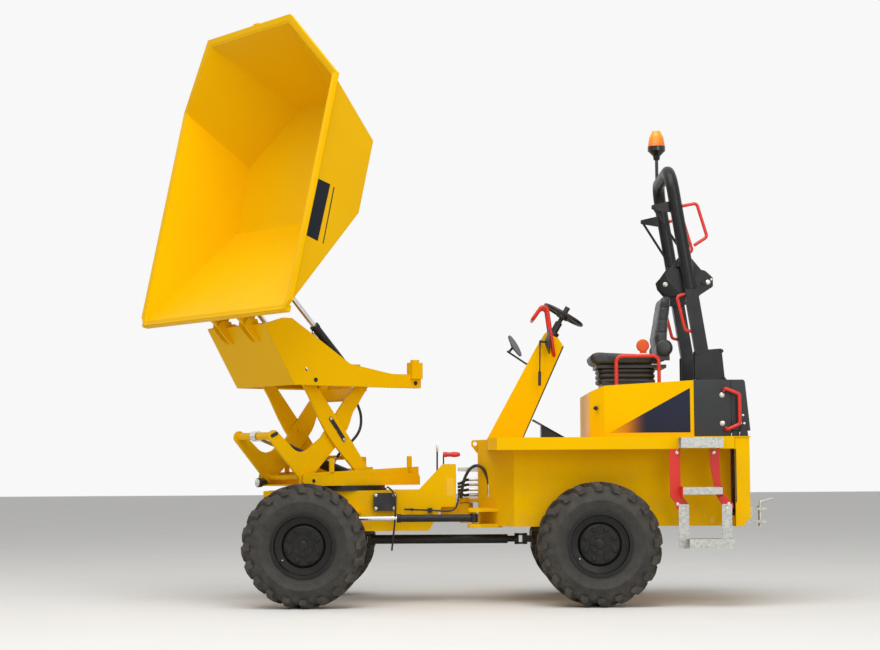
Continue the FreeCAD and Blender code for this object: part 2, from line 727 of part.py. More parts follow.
def rops_hoop():
    half, tube = size("rops_half"), size("rops_tube") / 2
    split, top = size("rops_split_z") + 0.5, size("rops_top_z")
    pin_x, pin_z = size("rops_pin_x"), size("rops_pin_z")
    pieces = [bent_bar([(rops_line(split), half, split), (rops_line(top), half, top),
                        (rops_line(top), -half, top), (rops_line(split), -half, split)],
                       tube, size("rops_bend"))]
    pieces[0] = pieces[0].cut(block((-2000, -half - 100, split - 100), (-1500, half + 100, split)))
    for sideways in (1, -1):
        y = sideways * half
        inner = y - sideways * (tube + 18.5)
        plate = side([(pin_x - 32, pin_z - 30, 26), (pin_x + 40, pin_z - 30, 10), (-1600, 2215, 14),
                      (-1556, 2262, 14), (-1560, 2345, 20), (-1620, 2428, 40), (-1700, 2428, 40),
                      (pin_x - 32, pin_z + 40, 30)], inner - 6, 12)
        web = side([(-1700, 2352), (-1600, 2352), (-1620, 2428), (-1690, 2428)],
                   min(inner, y), abs(y - inner))
        plate = plate.cut(cross_bar(pin_x, pin_z, inner - 8, inner + 8, 14 + size("running_fit")))
        bracket = side([(rops_line(2750) + 20, 2735), (-1428, 2762, 8), (-1428, 2790, 8),
                        (rops_line(2820) + 20, 2822)], y - sideways * 20 - 6, 12)
        stay = bar((-1440, y - sideways * 20, 2776), (rops_line(2500) + 20, y - sideways * 20, 2480), 9)
        pieces += [plate, web, bracket, stay]
    return pieces


posts, hoop = rops_lower(), rops_hoop()
weldment("rops_lower", MACHINE, *posts)
weldment("rops_hoop", MACHINE, *hoop)

# Red grab handles, bent from bar: the roll bar's four, and two beside the rear cover
HANDLES = (
    # foot, bend, bend and foot as (x, z), all in one plane beside the machine
    ((-1692, 2164), (-1596, 2142), (-1652, 1902), (-1724, 1886)),
    ((-1640, 2780), (-1745, 2800), (-1815, 2560), (-1722, 2500)),
)


def handle(points, y, radius):
    return bent_bar([(x, y, z) for x, z in points], radius, 26)


weldment("grab_handles", MACHINE, *both_sides(
    handle(HANDLES[0], size("rops_half"), 11.5).cut(posts),
    bent_bar([(-1886, size("cover_half") + 6.8, 1468), (-1886, size("cover_half") + 62, 1480),
              (-1984, size("cover_half") + 62, 1440), (-1984, size("cover_half") + 62, 1235),
              (-1896, size("cover_half") + 62, 1196), (-1896, size("cover_half") + 6.8, 1208)], 12, 22)))
weldment("rops_handle", MACHINE, *both_sides(handle(HANDLES[1], size("rops_half"), 11.5).cut(hoop)))

# Beacon on a thin pole, standing on the hoop toward its right-hand bend
beacon_x, beacon_y = rops_line(size("rops_top_z")) + 24, -210
pole_z = size("rops_top_z") + size("rops_tube") / 2 - 22
weldment("beacon", MACHINE,
         Part.makeCylinder(12, 3214 - pole_z, Vector(beacon_x, beacon_y, pole_z)).cut(hoop[0]),
         Part.makeCone(22, 27, 30, Vector(beacon_x, beacon_y, 3212)),
         Part.makeCone(27, 62, 36, Vector(beacon_x, beacon_y, 3242)),
         Part.makeCylinder(65, 34, Vector(beacon_x, beacon_y, 3278)),
         Part.makeCone(64, 52, 70, Vector(beacon_x, beacon_y, 3312)),
         Part.makeCone(52, 30, 46, Vector(beacon_x, beacon_y, 3382)))


# Ladder on the left side: a tread level with the deck, a middle step and a hung lower step
def ladder_rails():
    outer = size("deck_half") + 0.3
    under = size("deck_top_z") - size("deck_edge") - 4
    front = side([(-1560, under), (-1486, under), (-1490, 742), (-1520, 700), (-1530, 655, 10),
                  (-1612, 655, 10), (-1612, 690, 10), (-1562, 760)], outer, 8)
    rear = side([(-1826, under), (-1762, under), (-1762, 960), (-1796, 760), (-1856, 655, 10),
                 (-1916, 655, 10), (-1916, 690, 10), (-1836, 780)], outer, 8)
    pieces = []
    for plate, x, top_x in ((front, -1562, -1562), (rear, -1836, -1830)):
        flange = block((x, outer, 742), (x + 8, outer + 150, 812))
        top = block((top_x, outer, under - 40), (top_x + 8, outer + 8, under + 70))
        pieces.append(plate.fuse([flange, top]))
    return pieces


def ladder():
    # Channel treads with serrated upper edges between the rails.
    outer = size("deck_half") + 0.3
    pieces = []
    for rear, front, low, high in ((-1839, -1552, 1071, 1142), (-1827.7, -1562.3, 757, 806)):
        whole = block((rear, outer + 8.3, low), (front, outer + 150, high))
        hollow = block((rear - 1, outer + 14, low - 1), (front + 1, outer + 144, high - 6))
        pieces.append(whole.cut(hollow))
    return pieces


def lower_step():
    outer = size("deck_half") + 8.6
    rear, front = -1904, -1600
    step_plate = block((rear, outer, 395), (front, outer + 142, 458))
    step_plate = step_plate.cut(block((rear - 1, outer + 6, 394), (front + 1, outer + 136, 452)))
    pieces = [step_plate]
    for x in (-1904, -1612):
        pieces.append(side([(x, 390), (x + 68, 390, 8), (x + 66, 690, 10), (x - 4, 690, 10)], outer, 8))
    return pieces


weldment("ladder_rails", MACHINE, *ladder_rails())
weldment("ladder", MACHINE, *ladder())
weldment("lower_step", MACHINE, *lower_step())

# Tow hitch: a jaw with a drop pin on the tail
def tow_hitch():
    pin_x, hole = size("hitch_pin_x"), size("hitch_pin_radius") + size("running_fit")
    back = size("rear_end_x")
    jaw = [block((pin_x - 42, -55, 630), (back, 55, 650)), block((pin_x - 42, -55, 540), (back, 55, 560)),
           block((back - 60, -55, 540), (back, 55, 650)), block((back - 16, -95, 600), (back, 95, 700)),
           block((pin_x + 60, -55, 540), (pin_x + 90, 55, 650))]
    drill = bar((pin_x, 0, 530), (pin_x, 0, 660), hole)
    return [piece.cut(drill) for piece in jaw]


weldment("tow_hitch", MACHINE, *tow_hitch())
pin_x = size("hitch_pin_x")
weldment("tow_pin", MACHINE, bar((pin_x, 0, 516), (pin_x, 0, 662), size("hitch_pin_radius")),
         bar((pin_x, 0, 650.3), (pin_x, 0, 662), 22),
         bent_bar([(pin_x, 0, 655), (pin_x, 0, 690), (pin_x - 96, -30, 712)], 8, 16))


# Front chassis: a closed box with end plates, the king pin hub and the towers
def front_frame():
    low, high = size("front_bottom_z"), size("front_top_z")
    half = size("front_half") + size("front_plate") / 2
    rear, front = size("front_rear_x"), size("front_end_x")
    pivot = size("articulation_x")
    outline = [(rear, 672), (rear + 100, 672), (rear + 190, low), (front - 160, low), (front, low + 120),
               (front, high), (rear, high)]
    box = side(outline, -half, 2 * half)
    inner = [(rear + 26, 698), (rear + 112, 698), (rear + 206, low + 14), (front - 170, low + 14),
             (front - 14, low + 130), (front - 14, high - 18), (rear + 26, high - 18)]
    box = box.cut(side(inner, -half + 12, 2 * half - 24))
    axle_x, open_half = size("wheelbase") / 2, size("diff_radius") + 14
    box = box.cut(block((axle_x - open_half, -130, low - 1), (axle_x + open_half, 130, low + 15)))
    hub = bar((pivot, 0, 590), (pivot, 0, 695), 60)
    neck = block((pivot, -60, 595), (rear + 60, 60, 690))
    pin = bar((pivot, 0, 552), (pivot, 0, 733), size("king_pin_radius"))
    web = block((rear, -110, 600), (rear + 110, 110, 670))
    pieces = [box, hub, neck, pin, web]
    tower = side([(rear, high - 4), (236, high - 4), (222, high + 14, 10), (62, size("tower_top_z"), 8),
                  (rear, size("tower_top_z"), 8)], half - size("front_plate"), size("front_plate"))
    pieces += both_sides(tower)
    pieces.append(block((rear + 2, -half + 6, high + 40), (rear + 14, half - 6, high + 120)))
    pin_x, pin_y, pin_z = size("steer_front_x"), size("steer_pin_y"), size("steer_pin_z")
    for z in (pin_z - 48, pin_z + 32):
        pieces.append(plan([(pin_x - 60, half - 2), (pin_x + 60, half - 2), (pin_x + 34, pin_y + 34, 30),
                            (pin_x - 34, pin_y + 34, 30)], z, 16))
    return pieces


weldment("front_frame", MACHINE, *front_frame())

# Slew motor and lock on the left chassis plate
weldment("slew_motor", MACHINE,
         block((392, size("front_half") + 6.3, 652), (546, size("front_half") + 46, 770)))

# Turntable: two rings, the upper one turning on the lower
ring = [(size("ring_bore"), 0), (size("ring_radius"), 0), (size("ring_radius"), size("ring_height")),
        (size("ring_bore"), size("ring_height"))]
turned_body("slew_ring_lower", MACHINE + " * " + step("Sizes.turntable_x", z="Sizes.front_top_z"),
            ring, "XZ_Plane")
upper = [(size("ring_bore") + 12, 0), (size("ring_radius") - 12, 0),
         (size("ring_radius") - 12, size("base_bottom_z") - size("front_top_z") - size("ring_height") - 0.3),
         (size("ring_bore") + 12, size("base_bottom_z") - size("front_top_z") - size("ring_height") - 0.3)]
turned_body("slew_ring_upper", SLEWED + " * " + step(z="(Sizes.front_top_z + Sizes.ring_height + 0.3)"),
            upper, "XZ_Plane")


# Slew base: bottom plate, two rails for the rollers, front lugs and the cylinder bracket
def slew_base():
    low = size("base_bottom_z")
    rail = size("rail_b")
    foot_x, foot_z = size("foot_pin_x"), size("foot_pin_z")
    pieces = [block((-420, -rail - 8, low), (520, rail + 8, low + 10))]
    web = side([(-520, low), (500, low), (520, low + 30), (510, 915, 10), (-500, 915, 10), (-520, low + 60)],
               rail, 12)
    lip = block((-520, 196, low), (-400, rail + 12, low + 10))
    lug = side([(foot_x - 60, low), (foot_x + 50, low), (foot_x + 50, foot_z + 20, 30),
                (foot_x - 50, foot_z + 40, 30)], 230, 14)
    drill = cross_bar(foot_x, foot_z, 225, 250, size("arm_pin_radius") + size("running_fit"))
    lug = lug.cut(drill)
    pieces += both_sides(web, lip, lug)
    eye_x, eye_z = size("lift_base_x"), size("lift_base_z")
    for sideways in (1, -1):
        ear = side([(eye_x - 60, low), (eye_x + 70, low), (eye_x + 30, eye_z + 30, 28),
                    (eye_x - 30, eye_z + 30, 28)], sideways * 52 - 9, 18)
        pieces.append(ear)
    pieces.append(cross_bar(eye_x, eye_z, -61, 61, size("arm_pin_radius")))
    return pieces


weldment("slew_base", SLEWED, *slew_base())


# Scissor arms: the inner pair carries the bell-crank levers, the outer pair crosses it
def inner_arms():
    length, end = size("arm_length"), size("arm_end_radius")
    pin = size("arm_pin_radius")
    low = size("inner_arm_b") - size("arm_plate") / 2
    angle = math.radians(size("lever_angle"))
    tip = (size("lever_length") * math.cos(angle), size("lever_length") * math.sin(angle))
    outline = [(-length - end, -end, end), (-length / 2, -end - 8), (end, -end, end),
               (tip[0] + 40, tip[1] + 40, 38), (tip[0] - 40, tip[1] + 40, 38),
               (-95, 120, 110), (-330, end + 8, 60), (-length - end, end, end)]
    plate = side(outline, low, size("arm_plate"))
    pieces = both_sides(plate)
    pieces.append(cross_bar(0, 0, -250, 250, pin))
    pieces.append(cross_bar(-length, 0, -322, 322, pin))
    for sideways in (1, -1):
        pieces.append(cross_bar(tip[0], tip[1], sideways * (size("eye_width") / 2 + 3), sideways * (low + 10), 26))
        pieces.append(cross_bar(-length, 0, sideways * 296, sideways * 322, size("roller_radius")))
        pieces.append(cross_bar(0, 0, sideways * 198, sideways * 229, 34))
        pieces.append(cross_bar(-length / 2, 0, sideways * 198, sideways * 258, pin))
    gusset = block((-length + 60, -low, -14), (-length + 160, low, 10))
    pieces.append(gusset)
    return pieces


def outer_arms():
    # Drawn from the front top pin, the arm running back and down along -X.
    length, end = size("arm_length"), size("arm_end_radius")
    pin = size("arm_pin_radius")
    low = size("outer_arm_b") - size("arm_plate") / 2
    outline = [(end, -end, end), (end, end, end), (-length / 2, end + 8), (-length - end, end, end),
               (-length - end, -end, end), (-length / 2, -end - 8)]
    plate = side(outline, low, size("arm_plate"))
    plate = plate.cut(cross_bar(-length / 2, 0, low - 1, low + 30, pin + size("running_fit")))
    plate = plate.cut(cross_bar(0, 0, low - 1, low + 30, pin + size("running_fit")))
    stub = cross_bar(-length, 0, low, 264, pin)
    roller = cross_bar(-length, 0, low + 20.5, 264, size("roller_radius"))
    pieces = both_sides(plate, stub, roller)
    pieces.append(cross_bar(-length * 0.78, -14, -low - 5, low + 5, 16))
    return pieces


weldment("inner_arms", INNER_ARM, *inner_arms())
weldment("outer_arms", OUTER_ARM, *outer_arms())


# Top frame: side plates with a sloping top, an inclined front plate and skip pivots
def top_frame():
    half = size("frame_half")
    low = size("frame_bottom_z")
    pivot_x, pivot_z = size("skip_pivot_x"), size("skip_pivot_z")
    outline = [(-470, low), (646, low), (898, 1938), (745, 1985, 30), (668, 1985, 30), (170, 1684, 60),
               (-200, 1622), (-470, 1622)]
    plate = side(outline, half - 6, 12).cut(cross_bar(543, 1636, half - 7, half + 7, 15))
    front = side([(646, low), (898, 1938), (886, 1945), (634, low)], -half - 6, 2 * half + 12)
    for sideways in (1, -1):
        notch = block((pivot_x - 110, sideways * 164 - 26, pivot_z - 100),
                      (pivot_x + 60, sideways * 164 + 26, pivot_z + 60))
        front = front.cut(notch)
    pieces = both_sides(plate) + [front]
    top_pin_z = size("foot_pin_z") + size("arm_length") * math.sin(math.radians(size("lift_rest")))
    roller = size("roller_radius")
    for sideways in (1, -1):
        track = block((-470, min(sideways * 294, sideways * half), top_pin_z + roller + 0.3),
                      (440, max(sideways * 294, sideways * half), top_pin_z + roller + 12))
        lower = block((-470, min(sideways * 290, sideways * half), low),
                      (440, max(sideways * 290, sideways * half), top_pin_z - roller - 1))
        pieces += [track, lower]
        pieces.append(cross_bar(size("foot_pin_x"), top_pin_z, sideways * 256, sideways * half, 30))
        pieces.append(cross_bar(size("foot_pin_x"), top_pin_z, sideways * 226, sideways * half,
                                size("arm_pin_radius")))
        buffer = block((-466, sideways * half - 32, 1590), (-370, sideways * half + 32, 1708))
        cap = Part.makeCylinder(32, 22, Vector(-418, sideways * half, 1706))
        pieces += [buffer, cap]
        for offset in (128, 200):
            lug = side([(pivot_x - 120, pivot_z - 150), (pivot_x - 30, pivot_z - 100),
                        (pivot_x + 36, pivot_z - 30, 30), (pivot_x + 30, pivot_z + 36, 30),
                        (pivot_x - 60, pivot_z + 30)], sideways * offset - 8, 16)
            pieces.append(lug)
        pieces.append(cross_bar(pivot_x, pivot_z, sideways * 120, sideways * 208, size("skip_pin_radius")))
        base_x, base_z = size("tip_base_x"), size("tip_base_z")
        for offset in (-38, 38):
            ear_b = sideways * size("tip_cylinder_b") + offset
            ear = side([(base_x - 84, base_z - 22), (base_x + 34, base_z - 30),
                        (base_x + 34, base_z + 34, 31), (base_x - 84, base_z + 40, 20)], ear_b - 5, 10)
            pieces.append(ear)
        pieces.append(cross_bar(base_x, base_z, sideways * (size("tip_cylinder_b") - 46),
                                sideways * (size("tip_cylinder_b") + 46), 16))
        inner_b, outer_b = sorted((sideways * (size("tip_cylinder_b") - 40), sideways * (half - 1)))
        pieces.append(block((base_x - 76, inner_b, base_z - 9), (base_x - 42, outer_b, base_z + 33)))
    return pieces


weldment("top_frame", SLEWED, *top_frame())


# Skip: six folded panels, a flanged rim with cut rear corners, and its pivot lugs.
# Drawn level: x forward of the pivot, z up from it.
def skip_stations():
    # name: distance behind the lip, height above the rim line, half width
    return {
        "lip": (0, 0, 912),
        "bend": (1657, 0, 925),
        "back": (2065, 165, 509),
        "ramp": (855, -534, 759),
        "floor": (1379, -534, 768),
        "rear": (1761, -534, 246),
    }


def skip_solid(inset):
    # The closed form of the skip; inset gives the inner form that is cut from it.
    lip_x, lip_z = skip_lip()
    wall = size("skip_wall")
    table = skip_stations()

    def corner(name, sideways):
        back, up, half = table[name]
        grow = inset * wall
        if name in ("ramp", "floor", "rear"):
            up += grow * 1.05
            half -= grow * 1.15
            back -= grow * (0.9 if name == "rear" else 0.2)
        else:
            up += grow * 4
            half -= grow * 1.05
            back += grow * (-0.9 if name == "back" else 0)
            if name == "lip":
                back -= 30 * inset
        return Vector(lip_x - back, sideways * half, lip_z + up)

    left = {name: corner(name, 1) for name in table}
    right = {name: corner(name, -1) for name in table}
    # Each panel as a loop of corners, right side by mirror.
    loops = [
        [left["lip"], left["ramp"], right["ramp"], right["lip"]],
        [left["ramp"], left["floor"], left["rear"], right["rear"], right["floor"], right["ramp"]],
        [left["rear"], left["back"], right["back"], right["rear"]],
    ]
    for here in (left, right):
        loops.append([here["lip"], here["bend"], here["floor"]])
        loops.append([here["lip"], here["floor"], here["ramp"]])
        loops.append([here["bend"], here["back"], here["rear"]])
        loops.append([here["bend"], here["rear"], here["floor"]])
    loops.append([left["lip"], left["bend"], right["bend"], right["lip"]])
    loops.append([left["bend"], left["back"], right["back"], right["bend"]])
    faces = [Part.Face(Part.makePolygon(loop + [loop[0]])) for loop in loops]
    return Part.Solid(Part.Shell(faces))


def skip_lip():
    # Where the lip lies from the pivot, turned back to the level skip.
    turn = math.radians(size("skip_tip"))
    ahead, up = size("lip_x") - size("skip_pivot_x"), size("lip_z") - size("skip_pivot_z")
    return (ahead * math.cos(turn) - up * math.sin(turn), ahead * math.sin(turn) + up * math.cos(turn))


def skip_rim():
    # A folded strip round the rim: level to the bends, then rising to the back edge.
    lip_x, lip_z = skip_lip()
    table = skip_stations()
    wide, deep, proud = size("rim_strip"), size("rim_depth"), 2
    lap = size("skip_wall") + 2
    half = table["lip"][2]
    bend_x, bend = lip_x - table["bend"][0], table["bend"][2]
    back_x, back = lip_x - table["back"][0], table["back"][2]
    rise_per = table["back"][1] / (bend_x - back_x)
    level = plan([(lip_x - 90, half - lap), (lip_x, half - 60), (lip_x, half - 30), (lip_x - 66, half + wide),
                  (bend_x, bend + wide * 1.2), (bend_x, bend - lap)], lip_z + proud - deep, deep)
    outline = [(bend_x, bend + wide * 1.2), (back_x - wide, back + wide * 0.4),
               (back_x - wide, -back - wide * 0.4), (bend_x, -bend - wide * 1.2),
               (bend_x, -bend + lap), (back_x + lap, -back + lap), (back_x + lap, back - lap),
               (bend_x, bend - lap)]
    loop = [Vector(x, y, lip_z + proud - deep + rise_per * (bend_x - x)) for x, y in outline]
    rising = Part.Face(Part.makePolygon(loop + [loop[0]])).extrude(Vector(0, 0, deep))
    edge = block((lip_x - 36, -half + 6, lip_z - 44), (lip_x + 8, half - 6, lip_z - 2))
    return both_sides(level) + [rising, edge]


def skip_lugs():
    lip_x, lip_z = skip_lip()
    pieces = []
    back, drop, half = skip_stations()["ramp"]
    slope = math.atan2(-drop, back)
    for offset in (164, -164):
        far = 330
        foot = (lip_x - far, lip_z - far * math.tan(slope) + 3)
        near = (lip_x - 60, lip_z - 60 * math.tan(slope) + 3)
        pieces.append(side([(-46, -46, 44), (46, -46, 44), near, foot, (-160, -70, 60)], offset - 17, 34)
                      .cut(cross_bar(0, 0, offset - 18, offset + 18,
                                     size("skip_pin_radius") + size("running_fit"))))
    return pieces


def skip_clevises():
    # Plates under the ramp that take the eyes of the tip rods between them.
    turn = math.radians(size("skip_tip"))
    ahead, up = size("tip_anchor_x") - size("skip_pivot_x"), size("tip_anchor_z") - size("skip_pivot_z")
    x = ahead * math.cos(turn) - up * math.sin(turn)
    z = ahead * math.sin(turn) + up * math.cos(turn)
    lip_x, lip_z = skip_lip()
    back, drop, half = skip_stations()["ramp"]

    def ramp(at):
        return lip_z + drop * (lip_x - at) / back + 3

    pieces = []
    for middle in (size("tip_cylinder_b"), -size("tip_cylinder_b")):
        for offset in (-36, 24):
            pieces.append(side([(x - 70, ramp(x - 70)), (x - 34, z - 34, 30), (x + 34, z - 34, 30),
                                (x + 90, ramp(x + 90))], middle + offset, 12))
    return pieces


skip_shell = skip_solid(0).cut(skip_solid(1))
weldment("skip", SKIP, skip_shell, *skip_rim(), *skip_lugs(), *skip_clevises())


# Hydraulic cylinders: each barrel and rod is drawn along +X from the barrel's eye
def barrel(radius, length, bore, eye, width, pin):
    tube = bar((eye * 0.7, 0, 0), (length, 0, 0), radius)
    hollow = bar((eye * 0.7 + 24, 0, 0), (length + 1, 0, 0), bore + 5)
    head = bar((length - 30, 0, 0), (length, 0, 0), radius + 4)
    gland = bar((length - 31, 0, 0), (length + 1, 0, 0), bore + size("running_fit"))
    end = cross_bar(0, 0, -width / 2, width / 2, eye)
    tube = tube.cut(hollow)
    head = head.cut(gland)
    whole = tube.fuse([head, end])
    return whole.cut(cross_bar(0, 0, -width, width, pin + size("running_fit")))


def rod(radius, start, end, eye, width):
    shaft = bar((start, 0, 0), (end, 0, 0), radius)
    ring = cross_bar(end, 0, -width / 2, width / 2, eye)
    return shaft.fuse(ring)


def turned_frame(x, y, z, elevation, frame):
    # Placement of a cylinder whose barrel eye is at x, y, z and that rises forward.
    return frame + " * " + step("%.4f" % x, "%.4f" % y, "%.4f" % z, "0; 1; 0", "%.5f" % -elevation)


def rise(start, end):
    line = (end[0] - start[0], end[1] - start[1])
    return math.hypot(*line), math.degrees(math.atan2(line[1], line[0]))


lever_turn = math.radians(size("lever_angle") - size("lift_rest"))
lever_tip = (size("foot_pin_x") + size("lever_length") * math.cos(lever_turn),
             size("foot_pin_z") + size("lever_length") * math.sin(lever_turn))
lift_length, lift_angle = rise((size("lift_base_x"), size("lift_base_z")), lever_tip)
LIFT = turned_frame(size("lift_base_x"), 0, size("lift_base_z"), lift_angle, SLEWED)
weldment("lift_barrel", LIFT, barrel(size("lift_barrel_radius"), 600, size("lift_rod_radius"), 34, 80,
                                     size("arm_pin_radius")))
weldment("lift_rod", LIFT, rod(size("lift_rod_radius"), 300, lift_length, 36, size("eye_width")))

tip_anchor = (size("tip_anchor_x"), size("tip_anchor_z"))
tip_length, tip_angle = rise((size("tip_base_x"), size("tip_base_z")), tip_anchor)
TIP = turned_frame(size("tip_base_x"), 0, size("tip_base_z"), tip_angle, SLEWED)
tip_barrels, tip_rods = [], []
for sideways in (1, -1):
    shift = Vector(0, sideways * size("tip_cylinder_b"), 0)
    part = barrel(size("tip_barrel_radius"), 480, size("tip_rod_radius"), 30, 40, 16)
    part.translate(shift)
    tip_barrels.append(part)
    part = rod(size("tip_rod_radius"), 447, tip_length, 28, 40)
    part.translate(shift)
    tip_rods.append(part)
weldment("tip_barrels", TIP, *tip_barrels)
weldment("tip_rods", TIP, *tip_rods)

steer_length = size("steer_front_x") - size("steer_rear_x")
STEER = MACHINE + " * " + step("Sizes.steer_rear_x", "Sizes.steer_pin_y", "Sizes.steer_pin_z",
                               "1; 0; 0", "90")
weldment("steer_barrel", STEER, barrel(26, 540, 16, 28, 60, 17))
weldment("steer_rod", STEER, rod(16, 292, steer_length, 28, 60))

doc.recompute()
os.makedirs("parts", exist_ok=True)
for feature in nodes:
    state = [word for word in feature.State if word in ("Invalid", "Error")]
    if state or feature.Shape.isNull() or not feature.Shape.isValid():
        raise RuntimeError("%s did not build: %s" % (feature.Label, state))
for item in doc.Objects:
    if "Invalid" in item.State or "Error" in item.State:
        raise RuntimeError("%s is in error" % item.Name)
for feature in nodes:
    feature.Shape.exportStep("parts/%s.step" % feature.Label)
whole = Part.Compound([feature.Shape for feature in nodes]).BoundBox
print("nodes", len(nodes))
print("box", [round(value, 1) for value in (whole.XMin, whole.YMin, whole.ZMin, whole.XMax, whole.YMax, whole.ZMax)])
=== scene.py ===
import math

import bmesh
import bpy
from mathutils import Matrix, Vector


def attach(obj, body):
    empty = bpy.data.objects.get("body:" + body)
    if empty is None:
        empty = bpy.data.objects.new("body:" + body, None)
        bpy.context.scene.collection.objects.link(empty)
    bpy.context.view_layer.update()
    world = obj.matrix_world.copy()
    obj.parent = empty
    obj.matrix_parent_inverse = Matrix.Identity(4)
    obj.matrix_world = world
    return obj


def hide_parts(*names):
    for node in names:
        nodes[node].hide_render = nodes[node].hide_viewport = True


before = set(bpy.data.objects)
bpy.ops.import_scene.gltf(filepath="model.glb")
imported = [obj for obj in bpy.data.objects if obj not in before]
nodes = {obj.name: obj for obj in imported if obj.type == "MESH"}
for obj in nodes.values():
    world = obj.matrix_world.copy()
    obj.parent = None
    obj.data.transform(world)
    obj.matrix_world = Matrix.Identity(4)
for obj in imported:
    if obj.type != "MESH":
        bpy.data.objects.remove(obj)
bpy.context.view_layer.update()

scene = bpy.context.scene

# Camera: square from the machine's left, 0.9 m above the ground and 14 m away,
# tipped up a little. The lens is for a sensor 36 mm wide.
camera = bpy.data.objects.new("camera", bpy.data.cameras.new("camera"))
scene.collection.objects.link(camera)
scene.camera = camera
camera.data.sensor_width = 36
camera.data.lens = 78.75
camera.data.clip_end = 200
camera.location = (-0.040, 13.671, 0.936)
camera.rotation_euler = [math.radians(turn) for turn in (94.29, 0.359, 180.637)]
scene.view_settings.view_transform = "Standard"


# Chassis, covers, scissor and skip: folded and welded steel plate, primed and
# sprayed with golden yellow enamel. It gives a soft gloss with a faint cloud in
# its colour, fine orange peel, rounded paint edges and dust low down.
def colour(text):
    channels = [int(text[i:i + 2], 16) / 255 for i in (1, 3, 5)]
    return [c / 12.92 if c <= 0.04045 else ((c + 0.055) / 1.055) ** 2.4 for c in channels] + [1]


def add(tree, kind, sockets=None, out=0, **settings):
    # Adds a node with its settings, values and links; gives back one of its outputs.
    node = tree.nodes.new("ShaderNode" + kind)
    for name, value in settings.items():
        setattr(node, name, value)
    for name, value in (sockets or {}).items():
        if isinstance(value, bpy.types.NodeSocket):
            tree.links.new(value, node.inputs[name])
        else:
            node.inputs[name].default_value = value
    return node.outputs[out]


def start(name, **sockets):
    # A new material with values on its shader, and the place on the object that its patterns use.
    material = bpy.data.materials.new(name)
    material.use_nodes = True
    tree = material.node_tree
    shader = tree.nodes["Principled BSDF"]
    for socket, value in sockets.items():
        shader.inputs[socket.replace("_", " ")].default_value = value
    return material, tree, shader, add(tree, "TexCoord", out="Object")


def feed(tree, shader, **outputs):
    # Links patterns to the shader's sockets.
    for socket, output in outputs.items():
        tree.links.new(output, shader.inputs[socket.replace("_", " ")])


def enamel(name, lit, deep, gloss=0.34, coat=0.12, dust_top=1.25, dust=0.22, tint="#FFFFFF", index=1.45):
    # Scales count patterns in a metre: clouds 500 mm, dust 110 mm, rubs 80 mm, orange peel 4 mm.
    material, tree, shader, place = start(name, Coat_Weight=coat, Coat_Roughness=0.1, IOR=index,
                                          Specular_IOR_Level=0.35, Specular_Tint=colour(tint))
    cloud = add(tree, "TexNoise", {"Vector": place, "Scale": 2.0, "Detail": 3})
    clean = add(tree, "Mix", {0: cloud, 6: colour(lit), 7: colour(deep)}, 2, data_type="RGBA")
    height = add(tree, "SeparateXYZ", {"Vector": place}, "Z")
    low = add(tree, "MapRange", {"Value": height, "From Min": 0.25, "From Max": dust_top,
                                 "To Min": dust, "To Max": 0})
    drops = add(tree, "TexNoise", {"Vector": place, "Scale": 9.0, "Detail": 6, "Roughness": 0.7})
    patch = add(tree, "MapRange", {"Value": drops, "From Min": 0.42, "From Max": 0.68})
    splash = add(tree, "Math", {0: low, 1: patch}, operation="MULTIPLY")
    dusty = add(tree, "Mix", {0: splash, 6: clean, 7: colour("#8C7458")}, 2, data_type="RGBA")
    rub = add(tree, "TexNoise", {"Vector": place, "Scale": 12.0, "Detail": 5})
    worn = add(tree, "MapRange", {"Value": rub, "From Min": 0.3, "From Max": 0.7,
                                  "To Min": gloss - 0.06, "To Max": gloss + 0.08})
    edge = add(tree, "Bevel", {"Radius": 0.0035}, samples=4)
    peel = add(tree, "TexNoise", {"Vector": place, "Scale": 250.0, "Detail": 2})
    relief = add(tree, "Bump", {"Height": peel, "Distance": 0.0001, "Strength": 0.5, "Normal": edge})
    feed(tree, shader, Base_Color=dusty, Roughness=worn, Normal=relief)
    return material


def finish(material, names):
    for name in names.split():
        nodes[name].data.materials.clear()
        nodes[name].data.materials.append(material)


yellow = enamel("golden_yellow_enamel", "#F4BF06", "#EFB602", 0.4, 0, tint="#FFAE14", index=1.3)
finish(yellow, "front_frame rear_frame deck engine_cover steering_column slew_base inner_arms"
               " outer_arms top_frame skip")


# Skip: on each flank a panel and a thin stripe of dark printed vinyl, left
# blank, with an even dull sheen, and a steel lifting tab with a hole, welded on
# the back edge. Pieces are drawn in millimetres in the frames that the CAD uses.
CAD_ORIGIN = (0.031, -0.275, 0)
MACHINE = Matrix.Translation(CAD_ORIGIN) @ Matrix.Scale(0.001, 4)
SLEW_CENTRE = (810, 0, 0)
SLEWED = MACHINE @ Matrix.Translation(SLEW_CENTRE) @ Matrix.Rotation(math.radians(40), 4, "Z")
SKIP_HINGE = (915, 0, 1950)
SKIP = SLEWED @ Matrix.Translation(SKIP_HINGE) @ Matrix.Rotation(math.radians(76.65), 4, "Y")
SIDES = (("left", 1), ("right", -1))


def put(name, mesh, material, body, place=MACHINE, chamfer=0.0, sharp=35):
    # Sets a finished mesh in the scene in metres, smooth but for its edges, riding on its body.
    mesh.transform(place)
    bmesh.ops.recalc_face_normals(mesh, faces=mesh.faces)
    data = bpy.data.meshes.new(name)
    mesh.to_mesh(data)
    mesh.free()
    data.materials.append(material)
    data.polygons.foreach_set("use_smooth", [True] * len(data.polygons))
    data.set_sharp_from_angle(angle=math.radians(sharp))
    item = bpy.data.objects.new(name, data)
    scene.collection.objects.link(item)
    if chamfer:
        bevel = item.modifiers.new("chamfer", "BEVEL")
        bevel.width = chamfer / 1000
        bevel.segments = 2
        bevel.limit_method = "ANGLE"
        bevel.harden_normals = True
    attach(item, body)
    return item


